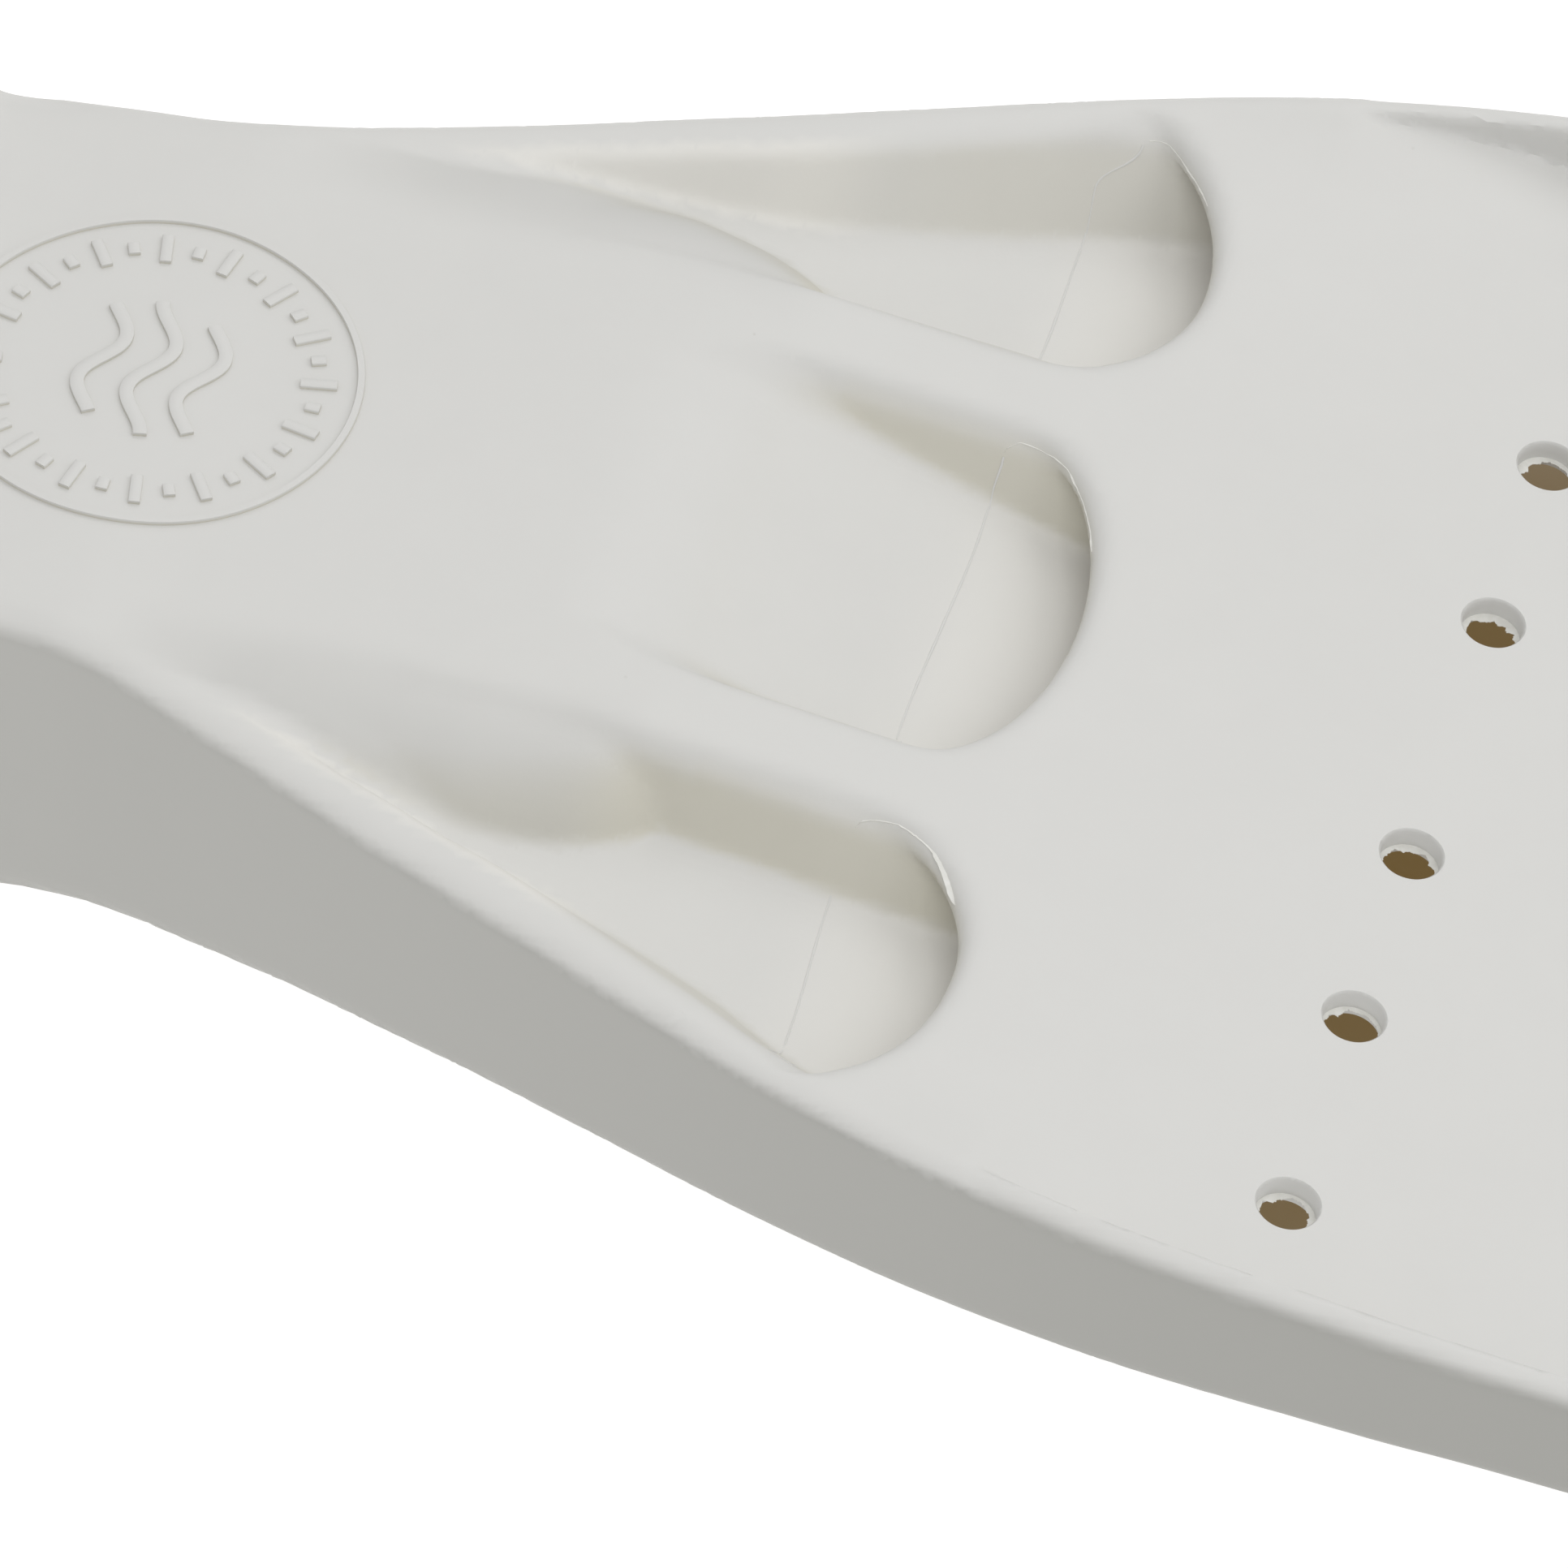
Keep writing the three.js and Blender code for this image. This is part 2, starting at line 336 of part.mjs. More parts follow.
function pullLoop() {
  const eye = turnedY([[2.08, -11.4], [4.1, -11.4], [4.1, 11.4], [2.08, 11.4], [2.08, -11.4]], 20).translate([LOOP_X, 0, 0]);
  const path = new THREE.CatmullRomCurve3([[-158.4, 8.4], [-167, 9.6], [-177, 11.5], [-187, 9.4], [-190.5, 0], [-187, -9.4], [-177, -11.5], [-167, -9.6], [-158.4, -8.4]].map(([x, y]) => new THREE.Vector3(x, y, 0)));
  const sections = range(0, 1, 20).map((t) => {
    const p = path.getPointAt(t), d = path.getTangentAt(t), out = new THREE.Vector3(d.y, -d.x, 0);
    return arc(0, 0, 1, 0, 360, 10).slice(0, 10).map(([u, v]) => p.clone().addScaledVector(out, -u * 2.4).add(new THREE.Vector3(0, 0, v * 3.4)));
  });
  const loop = skin(sections).add(eye).subtract(barY(2.08, -30, 30, LOOP_X, 0, 24));
  return loop.translate([-LOOP_X, 0, 0]).rotate([0, -LOOP_HANG, 0]).translate([LOOP_X, 0, 0]);
}

// ---------- materials ----------
const RUBBER = { color: 0xd3d3cf, roughness: 0.55, metalness: 0 };
const DARK_RUBBER = { color: 0x2b2c2d, roughness: 0.6, metalness: 0 };
const STEEL = { color: 0xb9bbbe, roughness: 0.3, metalness: 1 };
const PLASTIC = { color: 0x3a3b3d, roughness: 0.5, metalness: 0 };

const group = new THREE.Group();
group.name = 'swim_fin';
function addNode(name, shape, look) {
  const mesh = new THREE.Mesh(toCreasedNormals(geometryOf(shape), 0.6), new THREE.MeshStandardMaterial({ ...look, name }));
  mesh.name = name;
  group.add(mesh);
}
function addPair(name, shape, look) {
  addNode(`${name}_left`, shape, look);
  addNode(`${name}_right`, mirrorY(shape), look);
}
const place = (shape) => shape.translate([POST_X + ROW_X, 0, POST_Z + FLOOR]);
const strap = (shape) => place(shape.rotate([0, STRAP_TILT, 0]));

addNode('fin_body', finBody().translate([ROW_X, 0, FLOOR]), RUBBER);
addPair('strap_post', place(post()), STEEL);
addPair('post_washer', place(washer()), STEEL);
addPair('post_screw', place(screw()), STEEL);
addPair('boot_bushing', strap(bushing()), PLASTIC);
addPair('swivel_boot', strap(boot()), DARK_RUBBER);
addPair('spring_anchor', strap(anchor()), STEEL);
addPair('anchor_pin', strap(anchorPin()), STEEL);
addPair('heel_spring', strap(spring()), STEEL);
addPair('end_plug', strap(endPlug()), STEEL);
addNode('heel_pad', strap(heelPad()), DARK_RUBBER);
addNode('loop_pin', strap(loopPin()), STEEL);
addNode('pull_loop', strap(pullLoop()), DARK_RUBBER);

export default group;
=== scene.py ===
"""Looks of the vented swim fin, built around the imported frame. Metres, +X heel to tip."""
import math
import bmesh
import bpy
import numpy as np
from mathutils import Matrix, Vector

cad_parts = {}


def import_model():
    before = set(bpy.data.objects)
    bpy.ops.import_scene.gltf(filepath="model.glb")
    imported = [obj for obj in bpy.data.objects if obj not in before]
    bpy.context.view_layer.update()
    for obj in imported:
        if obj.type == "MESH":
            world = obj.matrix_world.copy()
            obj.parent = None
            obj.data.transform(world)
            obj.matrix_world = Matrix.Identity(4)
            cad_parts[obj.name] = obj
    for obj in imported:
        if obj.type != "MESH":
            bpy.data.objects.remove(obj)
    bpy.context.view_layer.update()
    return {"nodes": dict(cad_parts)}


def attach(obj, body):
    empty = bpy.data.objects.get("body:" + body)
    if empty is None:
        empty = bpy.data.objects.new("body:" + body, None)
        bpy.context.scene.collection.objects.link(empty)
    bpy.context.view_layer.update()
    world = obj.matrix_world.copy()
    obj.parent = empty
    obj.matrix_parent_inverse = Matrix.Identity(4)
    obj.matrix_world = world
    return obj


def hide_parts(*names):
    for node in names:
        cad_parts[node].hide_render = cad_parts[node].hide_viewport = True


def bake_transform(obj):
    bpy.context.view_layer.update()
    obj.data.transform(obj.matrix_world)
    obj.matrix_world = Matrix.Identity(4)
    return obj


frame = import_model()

# ------------------------------------------------------------------ dimensions (mm, blade frame)
ORIGIN = np.array([41.016, 0.0, 56.0])      # blade frame to row frame
SLOPE = 0.1716
BLADE_T = 4.5
RAIL_T = 4.1
HEEL_X, TIP_X = -318, 290
TIP_ROUND_X = 262                           # the rails' inner walls run straight on from here
HOLE_X, HOLE_R = 51.9, 4.25
HOLES_Y = (22.5, 53.6, 88.8, -22.5, -53.6, -88.8)
OUTLET = 13.0                               # where the vents' floors end, under the blade
POST = (-212.0, -12.0)                      # x and z of the strap posts' axis
TILT = math.radians(14)                     # the strap above level
MIDDLE_BAY = (-0.8, 16.5, -30.2, 30.2, 0.0)  # front x, depth, inner y, outer y, y of the front
SIDE_BAY = (-0.4, 22, 44, 94.5, 66.5)
MIDDLE_TOP_Y = 30.5                         # half width of the middle vent at the blade's face
STRUT_TOP_Y = 44.2                          # outer edge of a strut's top
VENT_ROUND = 3.7                            # rim radius of the vents
BLADE_TILT = math.atan(SLOPE)
HOLE_AXIS = np.array([math.sin(BLADE_TILT), 0, math.cos(BLADE_TILT)])
HOLE_ALONG = np.array([math.cos(BLADE_TILT), 0, -math.sin(BLADE_TILT)])
ACROSS = np.array([0, 1.0, 0])


def curve(*pts):
    """Monotone cubic through [x, value] stations."""
    X = np.array([p[0] for p in pts], float)
    V = np.array([p[1] for p in pts], float)
    h = np.diff(X)
    d = np.diff(V) / h
    m = np.empty(len(X))
    m[0], m[-1] = d[0], d[-1]
    a, b = d[:-1], d[1:]
    same = a * b > 0
    with np.errstate(divide="ignore", invalid="ignore"):
        hm = (h[:-1] + h[1:]) / (h[1:] / a + h[:-1] / b)
    m[1:-1] = np.where(same, hm, 0.0)

    def f(x):
        x = np.clip(x, X[0], X[-1])
        i = np.clip(np.searchsorted(X, x, side="right") - 1, 0, len(h) - 1)
        s = (x - X[i]) / h[i]
        return (V[i] * (1 + 2 * s) * (1 - s) ** 2 + h[i] * m[i] * s * (1 - s) ** 2
                + V[i + 1] * s * s * (3 - 2 * s) + h[i] * m[i + 1] * s * s * (s - 1))
    return f


half_width = curve((-318, 13), (-314, 24), (-306, 33), (-292, 40), (-270, 46.5), (-240, 52), (-212, 54.5),
                   (-190, 53.6), (-175, 51.8), (-165, 51), (-150, 50.9), (-140, 51.1), (-130, 52.4),
                   (-120, 55.3), (-110, 59.3), (-100, 63.4), (-90, 67.6), (-80, 72), (-70, 76.1), (-60, 80.2),
                   (-50, 84.4), (-40, 88.5), (-30, 92.7), (-20, 96.6), (-10, 100.2), (0, 103.5), (10, 106.3),
                   (20, 108.7), (30, 110.8), (40, 112.5), (50, 113.9), (60, 115), (72, 116.2), (94, 117.5),
                   (120, 118.2), (170, 118.6), (230, 118), (262, 117), (276, 114.8), (284, 110), (288.5, 103),
                   (290, 94))
BLADE_EDGE = ((0, 2.7), (10, 2.4), (20, 2), (30, 1.5), (40, 1), (50, 0.5), (60, -0.2), (80, -1.9), (100, -4),
              (120, -6.6), (150, -11.6), (200, -22.5), (230, -31), (250, -37.4), (268, -43.4), (282, -47.6), (290, -49.4))
edge_top = curve((-318, -44), (-314, -30), (-300, 0), (-240, 27), (-200, 28), (-190, 26), (-182, 22.2), (-175, 18.2),
                 (-170, 15.3), (-166, 13.5), (-160, 12.9), (-150, 12.5), (-130, 12.4), (-120, 11.5), (-110, 10.2),
                 (-100, 9.1), (-90, 8.1), (-80, 7.2), (-70, 6.5), (-60, 5.8), (-50, 5.2), (-40, 4.6), (-30, 4),
                 (-20, 3.5), (-10, 3.1), *BLADE_EDGE)
centre_top = curve((-318, -44), (-314, -30), (-300, 0), (-240, 37), (-200, 33), (-190, 29.5), (-182, 25), (-175, 20),
                   (-170, 16.9), (-166, 15.1), (-160, 13.9), (-150, 13.2), (-140, 12.9), (-130, 12.5), (-115, 11.4),
                   (-100, 10.8), (-80, 10.4), (-68, 10), (-60, 9.5), (-50, 8.4), (-40, 6.85), (-30, 5.15), (-20, 3.5),
                   (-10, 3.1), *BLADE_EDGE)
bottom = curve((-318, -52.5), (-314, -55), (-308, -56), (-252, -56), (-244, -55.6), (-230, -54.3), (-210, -51.8),
               (-180, -47.4), (-150, -42.4), (-130, -39), (-110, -35.4), (-90, -31.8), (-70, -29.2), (-50, -27.4),
               (-30, -26), (-10, -24.8), (10, -23.9), (35, -23.1), (60, -22.5), (80, -22.5), (100, -23.6),
               (120, -26.4), (150, -31.6), (200, -40.3), (250, -49), (290, -56))
edge_round = curve((-318, 5), (-260, 9), (-200, 14), (-165, 10), (-145, 5.5), (-120, 4.2), (-60, 3.6), (290, 3))
pocket_half = curve((-312, 10), (-309, 18), (-302, 26.5), (-290, 33.5), (-270, 40.5), (-240, 46.3), (-205, 48.6),
                    (-165, 46.8), (-140, 45.6), (-120, 45), (-108, 42), (-98, 36), (-92, 28), (-88, 17))
pocket_floor = curve((-312, -46), (-240, -45.6), (-210, -43), (-180, -38.5), (-150, -32.5), (-120, -25.5),
                     (-100, -21.5), (-92, -19), (-88, -16))
pocket_ceiling = curve((-312, 10), (-260, 40), (-215, 44), (-200, 27), (-190, 23), (-182, 18.5), (-175, 14.2),
                       (-168, 10.8), (-160, 9), (-150, 8.2), (-120, 5.2), (-100, 2.6), (-92, -1), (-88, -7))
# a low ramp climbs the rail beside the vents and dies out along the blade
ramp_height = curve((-40, 8), (0, 6), (10, 4.6), (17, 3.5), (26.5, 2.6), (33.6, 1.6), (40.8, 0.3), (47, 0), (290, 0))
RAMP = 22.0                                 # its breadth
collar = curve((-330, -37), (-290, -35), (-265, -28), (-245, -17), (-228, -4), (-212, 8.5), (-198, 17), (-189, 27),
               (-186.5, 36), (-184, 70))
toe_under = curve((-100, -31.5), (-90, -28.2), (-60, -24), (-20, -21.2), (13, -19.6))
# behind its mouth a vent's floor runs on above the toe, so it cuts nothing there
mid_floor = curve((-330, 150), (-200, 60), (-140, 20), (-112, 13.4), (-90, 11.2), (-75, 10.5), (-68, 10.05),
                  (-63, 9.3), (-58, 8), (-53, 6.1), (-47, 3.4), (-35, -1.2), (-19.4, -6.8), (-5, -11.4),
                  (5, -14.3), (14, -16.4))
# side vents: [x, inner y and outer y of the floor, inner z and outer z of the floor, outer y at the top]
SIDE = [(-330, 45, 46, 150, 150, 49), (-200, 45, 46, 60, 60, 49), (-140, 46.5, 48, 18, 18, 50),
        (-125, 49.5, 50.5, 12.6, 12.4, 52), (-110, 51.5, 52.7, 9.5, 9.1, 55), (-100, 52.5, 54.7, 8, 7.4, 58.4),
        (-88, 55.5, 58.8, 5.3, 4.3, 63), (-78, 57.6, 61.4, 2.6, 1.4, 67), (-70, 59.2, 63.6, 0, -1.2, 70.4),
        (-62, 58.3, 65.2, -2, -2.9, 73.7), (-54, 55.5, 67, -3.3, -4.3, 77.1), (-47, 50.8, 69, -4.3, -5.5, 80.1),
        (-42, 50.2, 70.6, -4.9, -6.3, 82.2), (-30, 51, 75, -6.6, -8.3, 87), (-20, 52, 80, -8.1, -10.2, 91),
        (-10, 52, 83.5, -9.8, -12, 94), (0, 52, 86, -11.6, -13.8, 97), (14, 52, 88, -14.2, -16.4, 99)]
side_y_in, side_y_out, side_z_in, side_z_out, side_top_out = (
    curve(*[(r[0], r[k]) for r in SIDE]) for k in range(1, 6))
strut_foot = curve((-112, 49), (-47, 49.8), (-42, 50.2), (-30, 51), (-20, 52), (14, 52))
# the toe's round flank in a side vent: where it meets the floor, and where it leaves the toe's top
flank_foot = curve((-140, 46.5), (-125, 49.5), (-110, 51.5), (-100, 52.5), (-88, 55.5), (-78, 57.6), (-70, 59.2),
                   (-62, 58.3), (-54, 55.5), (-47, 50.8), (-41, 44), (-34, 34), (-26, 20))
flank_crest = curve((-140, 38), (-110, 39), (-88, 37), (-70, 37.5), (-62, 36.5), (-54, 33.5), (-47, 28),
                    (-41, 20), (-34, 8), (-26, -8))


def blade_top(x):
    return -SLOPE * x


def smooth(t):
    t = np.clip(t, 0, 1)
    return t * t * (3 - 2 * t)


def rmax(a, b, r):
    """Intersection of two fields with the edge rounded to radius r."""
    u = np.maximum(r + a, 0)
    v = np.maximum(r + b, 0)
    return np.minimum(-r, np.maximum(a, b)) + np.sqrt(u * u + v * v)


def rmin(a, b, r):
    """Union of two fields with the inner corner filled to radius r."""
    return -rmax(-a, -b, r)


def slope_of(f, x):
    return f(x + 0.5) - f(x - 0.5)


def bay(x, y, tip, depth, y_in, y_out, y_mid):
    """Plan of a vent: straight sides that close in a half ellipse at the front."""
    b = np.where(y < y_mid, y_mid - y_in, y_out - y_mid)
    u = np.maximum(x - (tip - depth), 0) / depth
    v = (y - y_mid) / b
    q = np.sqrt(u * u + v * v) + 1e-6
    return (q - 1) * q / (np.sqrt((u / depth) ** 2 + (v / b) ** 2) + 1e-6)


def middle_vent(x, y, z):
    ay = np.abs(y)
    zf = mid_floor(x)
    depth = np.maximum(0.4, blade_top(np.minimum(x, 0)) - zf)
    foot = MIDDLE_TOP_Y - 0.62 * depth
    wall = (ay - np.minimum(MIDDLE_TOP_Y, foot + 0.66 * (z - zf))) * 0.87
    floor = (zf - z) * 0.94
    void = rmax(floor, wall, 1.2 + 3 * smooth((-36 - x) / 14))
    under = np.maximum(z - (blade_top(x) - BLADE_T), x - OUTLET - 1)
    front = rmin(bay(x, ay, *MIDDLE_BAY), under, 1.6)
    return rmax(void, front, 0.8)


def side_vent(x, y, z):
    ay = np.abs(y)
    yi, yo, zi, zo, to = side_y_in(x), side_y_out(x), side_z_in(x), side_z_out(x), side_top_out(x)
    level = np.maximum(np.minimum(blade_top(x), 11), zi + 1.2)
    t = np.clip((ay - yi) / np.maximum(yo - yi, 0.5), -0.6, 1.6)
    floor = (zi + (zo - zi) * t - z) * 0.97
    b = np.minimum(1, (z - zo) / (level - zo))
    outer = (ay - (yo + (to - yo) * b)) * (level - zo) / np.hypot(level - zo, to - yo)
    # the strut's straight wall, and the round flank of the toe behind it
    ys = strut_foot(x)
    a = np.minimum(1, (z - zi) / (level - zi))
    strut = (ys + (STRUT_TOP_Y - ys) * a - ay) * (level - zi) / np.hypot(level - zi, STRUT_TOP_Y - ys)
    yf, yc, crest = flank_foot(x), flank_crest(x), centre_top(x) + 0.25
    # a quarter ellipse from the crest, cut at 0.9 of its breadth, where it has dropped 0.5641 of its height
    wide, tall = (yf - yc) / 0.9, (crest - zi) / 0.5641
    u = np.clip((ay - yc) / wide, 0, 0.95)
    root = np.sqrt(1 - u * u)
    steep = tall * 3.04 * np.maximum((ay - yc) / wide - 0.95, 0)
    drop = crest - tall * (1 - root) - steep + 0.12 * np.maximum(yc - ay, 0)
    flank = (drop - z) / np.hypot(1, tall / wide * u / root)
    void = rmax(floor, rmax(flank, strut, 1.0), 1.1 + 2.4 * smooth((-72 - x) / 22))
    void = rmax(void, outer, 1.4 + 0.8 * smooth((-70 - x) / 30))
    under = np.maximum(z - (blade_top(x) - BLADE_T), x - OUTLET - 1)
    front = rmin(bay(x, ay, *SIDE_BAY), under, 1.6)
    return rmax(void, front, 0.8)


def fin(x, y, z):
    """Signed field of the whole moulding, negative inside."""
    ay = np.abs(y)
    w, t, b, r = half_width(x), edge_top(x), bottom(x), edge_round(x)
    c = centre_top(x)
    c = c + (blade_top(x) - c) * smooth((x + 55) / 12)
    inner = 6 + 40 * smooth((x + 160) / 50)
    flat = w - r
    face = c + np.minimum(t - c, 0) * (1 - smooth((flat - ay) / np.maximum(4, flat - inner)))
    kw = 1 / np.sqrt(1 + slope_of(half_width, x) ** 2)
    kt = 1 / np.sqrt(1 + slope_of(centre_top, x) ** 2)
    # blade face, a low ramp at its side, and the rails that rise out of the ramp
    rise = np.maximum(t - c, 0)
    foot = half_width(np.minimum(x, TIP_ROUND_X)) - RAIL_T
    lift = np.minimum(rise, ramp_height(x))
    ramp = lift * np.clip((ay - foot) / RAMP + 1, 0, 1) ** 2
    rail = rmax((z - t) * kt, (foot - ay) * kw, np.minimum(1.0, 0.5 * rise + 0.02))
    top = rmin((z - face - ramp) * kt, rail, np.clip(0.25 * (rise - lift), 0.01, 0.3))
    d = rmax(top, (ay - w) * kw, r)
    d = rmax(d, b - z, 2.5)
    d = rmax(d, x - TIP_X, 2.2)
    d = rmax(d, HEEL_X - x, 5)
    # boss under each post
    px, pz = x - POST[0], z - POST[1]
    rad = np.sqrt(px * px + pz * pz)
    cone = 12 + np.maximum(0, 58 - ay) * 0.55
    boss = rmax(rmax(rad - np.minimum(cone, 20), ay - 60, 1.0), 40 - ay, 1)
    d = rmin(d, boss, 3.0)
    # underside
    under_toe = rmax(rmax(z - toe_under(x), ay - (w - 7), 3), x - OUTLET, 1)
    under_toe = np.maximum(under_toe, -98 - x)
    under_blade = rmax(z - (blade_top(x) - BLADE_T), ay - (half_width(np.minimum(x, TIP_ROUND_X)) - 6.2), 3)
    under_blade = np.maximum(under_blade, OUTLET - x)
    d = rmax(d, -np.minimum(under_toe, under_blade), 1.2)
    # foot pocket and its collar
    pw, pf, pc = pocket_half(x), pocket_floor(x), pocket_ceiling(x)
    pr = np.minimum(15, pw * 0.6)
    pocket = rmax((ay - pw) * 0.98, z - pc, pr)
    pocket = rmax(pocket, pf - z, np.minimum(9, pw * 0.5))
    pocket = rmax(rmax(pocket, x + 88, 2), -312 - x, 2)
    d = rmax(d, -pocket, 1.0)
    open_top = (collar(x) - z) / np.sqrt(1 + np.minimum(slope_of(collar, x) ** 2, 60))
    d = rmax(d, -open_top, 2.4)
    # vents: a broad round on the struts and the blade's edge, a tighter one on the rails
    outward = smooth((ay - 0.5 * (side_y_in(x) + side_y_out(x))) / 5 + 0.5) * smooth((-14 - x) / 8)
    rim = VENT_ROUND + (2.2 - VENT_ROUND) * outward
    d = rmax(d, -side_vent(x, y, z), np.clip(0.6 * (c - side_z_in(x)), 0.3, rim))
    d = rmax(d, -middle_vent(x, y, z), np.clip(0.6 * (c - mid_floor(x)), 0.3, VENT_ROUND))
    # tread grooves
    for gx, half in [(-304 + 7.0 * i, 24) for i in range(5)] + [(-244 + 9.0 * i, 34) for i in range(7)]:
        g = rmax(rmax(np.abs(x - gx - 1.8) - 1.7, z - b - 1.6, 0.4), ay - half, 1.5)
        d = rmax(d, -g, 0.5)
    return d


def skin(xs, ys, zs):
    """Surface nets on a stretched grid, then every vertex is drawn onto the zero level."""
    F = np.empty((len(xs), len(ys), len(zs)), np.float32)
    for i in range(0, len(xs), 24):
        X, Y, Z = np.meshgrid(xs[i:i + 24], ys, zs, indexing="ij")
        F[i:i + 24] = fin(X, Y, Z)
    S = F < 0
    nx, ny, nz = F.shape
    total = np.zeros((nx - 1, ny - 1, nz - 1, 3), np.float32)
    count = np.zeros((nx - 1, ny - 1, nz - 1), np.float32)
    grids = [xs.astype(np.float32), ys.astype(np.float32), zs.astype(np.float32)]
    for axis in range(3):
        lo = [slice(None)] * 3
        hi = [slice(None)] * 3
        lo[axis], hi[axis] = slice(0, -1), slice(1, None)
        a, b = F[tuple(lo)], F[tuple(hi)]
        cross = np.argwhere(S[tuple(lo)] != S[tuple(hi)])
        ca, cb = a[tuple(cross.T)], b[tuple(cross.T)]
        t = ca / (ca - cb)
        p = np.stack([grids[k][cross[:, k]] for k in range(3)], 1)
        g = grids[axis]
        p[:, axis] = g[cross[:, axis]] * (1 - t) + g[cross[:, axis] + 1] * t
        o1, o2 = [k for k in range(3) if k != axis]
        for s1 in (0, 1):
            for s2 in (0, 1):
                c = cross.copy()
                c[:, o1] -= s1
                c[:, o2] -= s2
                ok = np.all((c >= 0) & (c < np.array([nx - 1, ny - 1, nz - 1])), axis=1)
                np.add.at(total, tuple(c[ok].T), p[ok])
                np.add.at(count, tuple(c[ok].T), 1)
    cells = np.argwhere(count > 0)
    index = -np.ones(count.shape, np.int64)
    index[tuple(cells.T)] = np.arange(len(cells))
    V = (total[tuple(cells.T)] / count[tuple(cells.T)][:, None]).astype(np.float64)
    quads = []
    for axis in range(3):
        o1, o2 = [(axis + 1) % 3, (axis + 2) % 3]
        lo = [slice(None)] * 3
        hi = [slice(None)] * 3
        lo[axis], hi[axis] = slice(0, -1), slice(1, None)
        cross = np.argwhere(S[tuple(lo)] != S[tuple(hi)])
        cross = cross[(cross[:, o1] > 0) & (cross[:, o2] > 0)]
        inside_low = S[tuple(cross.T)]
        corners = []
        for s1, s2 in ((1, 1), (0, 1), (0, 0), (1, 0)):
            c = cross.copy()
            c[:, o1] -= s1
            c[:, o2] -= s2
            corners.append(index[tuple(c.T)])
        q = np.stack(corners, 1)
        q[~inside_low] = q[~inside_low][:, ::-1]
        quads.append(q)
    Q = np.concatenate(quads)
    cell = np.stack([np.diff(g)[cells[:, k]] for k, g in enumerate(grids)], 1)
    V0 = V.copy()
    for _ in range(5):
        f = fin(V[:, 0], V[:, 1], V[:, 2])
        G = gradient(V)
        n2 = np.maximum((G * G).sum(1), 0.15)
        V -= (f / n2)[:, None] * G * 0.9
        V = np.clip(V, V0 - cell, V0 + cell)
    return V, Q


def gradient(V, e=0.12):
    G = np.empty_like(V)
    for k in range(3):
        a, b = V.copy(), V.copy()
        a[:, k] += e
        b[:, k] -= e
        G[:, k] = (fin(a[:, 0], a[:, 1], a[:, 2]) - fin(b[:, 0], b[:, 1], b[:, 2])) / (2 * e)
    return G


def stretch(*runs):
    """Grid lines: (from, to, step) runs joined end to end."""
    out = [runs[0][0]]
    for a, b, step in runs:
        n = max(1, round((b - a) / step))
        out += list(a + (b - a) * (np.arange(n) + 1) / n)
    return np.array(out, float)


def world(P):
    return (np.asarray(P, float) + ORIGIN) / 1000.0


def mesh_object(name, verts, faces, smooth_shade=True):
    me = bpy.data.meshes.new(name)
    me.from_pydata([tuple(v) for v in verts], [], [tuple(int(i) for i in f) for f in faces])
    me.validate()
    me.update()
    ob = bpy.data.objects.new(name, me)
    bpy.context.scene.collection.objects.link(ob)
    if smooth_shade:
        me.polygons.foreach_set("use_smooth", [True] * len(me.polygons))
    return ob


def ring_faces(n, k, closed=False):
    """Quads between n rings of k points each, with end caps unless the rings close on themselves."""
    faces = []
    for i in range(n if closed else n - 1):
        j = (i + 1) % n
        faces += [(i * k + c, i * k + (c + 1) % k, j * k + (c + 1) % k, j * k + c) for c in range(k)]
    if not closed:
        faces += [tuple(range(k - 1, -1, -1)), tuple((n - 1) * k + c for c in range(k))]
    return faces


def fast_mesh(name, V, Q):
    me = bpy.data.meshes.new(name)
    me.vertices.add(len(V))
    me.vertices.foreach_set("co", np.asarray(V, np.float32).ravel())
    me.loops.add(Q.size)
    me.loops.foreach_set("vertex_index", Q.astype(np.int32).ravel())
    me.polygons.add(len(Q))
    me.polygons.foreach_set("loop_start", np.arange(0, Q.size, Q.shape[1], dtype=np.int32))
    me.polygons.foreach_set("loop_total", np.full(len(Q), Q.shape[1], np.int32))
    me.update(calc_edges=True)
    me.validate()
    me.polygons.foreach_set("use_smooth", [True] * len(me.polygons))
    ob = bpy.data.objects.new(name, me)
    bpy.context.scene.collection.objects.link(ob)
    return ob


# ------------------------------------------------------------------ materials
def nodes_of(name):
    m = bpy.data.materials.new(name)
    m.use_nodes = True
    nt = m.node_tree
    nt.nodes.clear()
    out = nt.nodes.new("ShaderNodeOutputMaterial")
    sh = nt.nodes.new("ShaderNodeBsdfPrincipled")
    nt.links.new(sh.outputs[0], out.inputs[0])
    return m, nt, sh


def add(nt, kind, **values):
    n = nt.nodes.new(kind)
    for k, v in values.items():
        if k in n.inputs:
            n.inputs[k].default_value = v
        else:
            setattr(n, k, v)
    return n


def noise(nt, vec, scale, detail=4.0, rough=0.55):
    n = add(nt, "ShaderNodeTexNoise", Scale=scale, Detail=detail, Roughness=rough)
    nt.links.new(vec, n.inputs["Vector"])
    return n


def ramp(nt, src, stops, mode="LINEAR"):
    n = nt.nodes.new("ShaderNodeValToRGB")
    n.color_ramp.interpolation = mode
    while len(n.color_ramp.elements) < len(stops):
        n.color_ramp.elements.new(0.5)
    for e, (p, c) in zip(n.color_ramp.elements, stops):
        e.position = p
        e.color = (c, c, c, 1) if isinstance(c, (int, float)) else (*c, 1)
    nt.links.new(src, n.inputs[0])
    return n


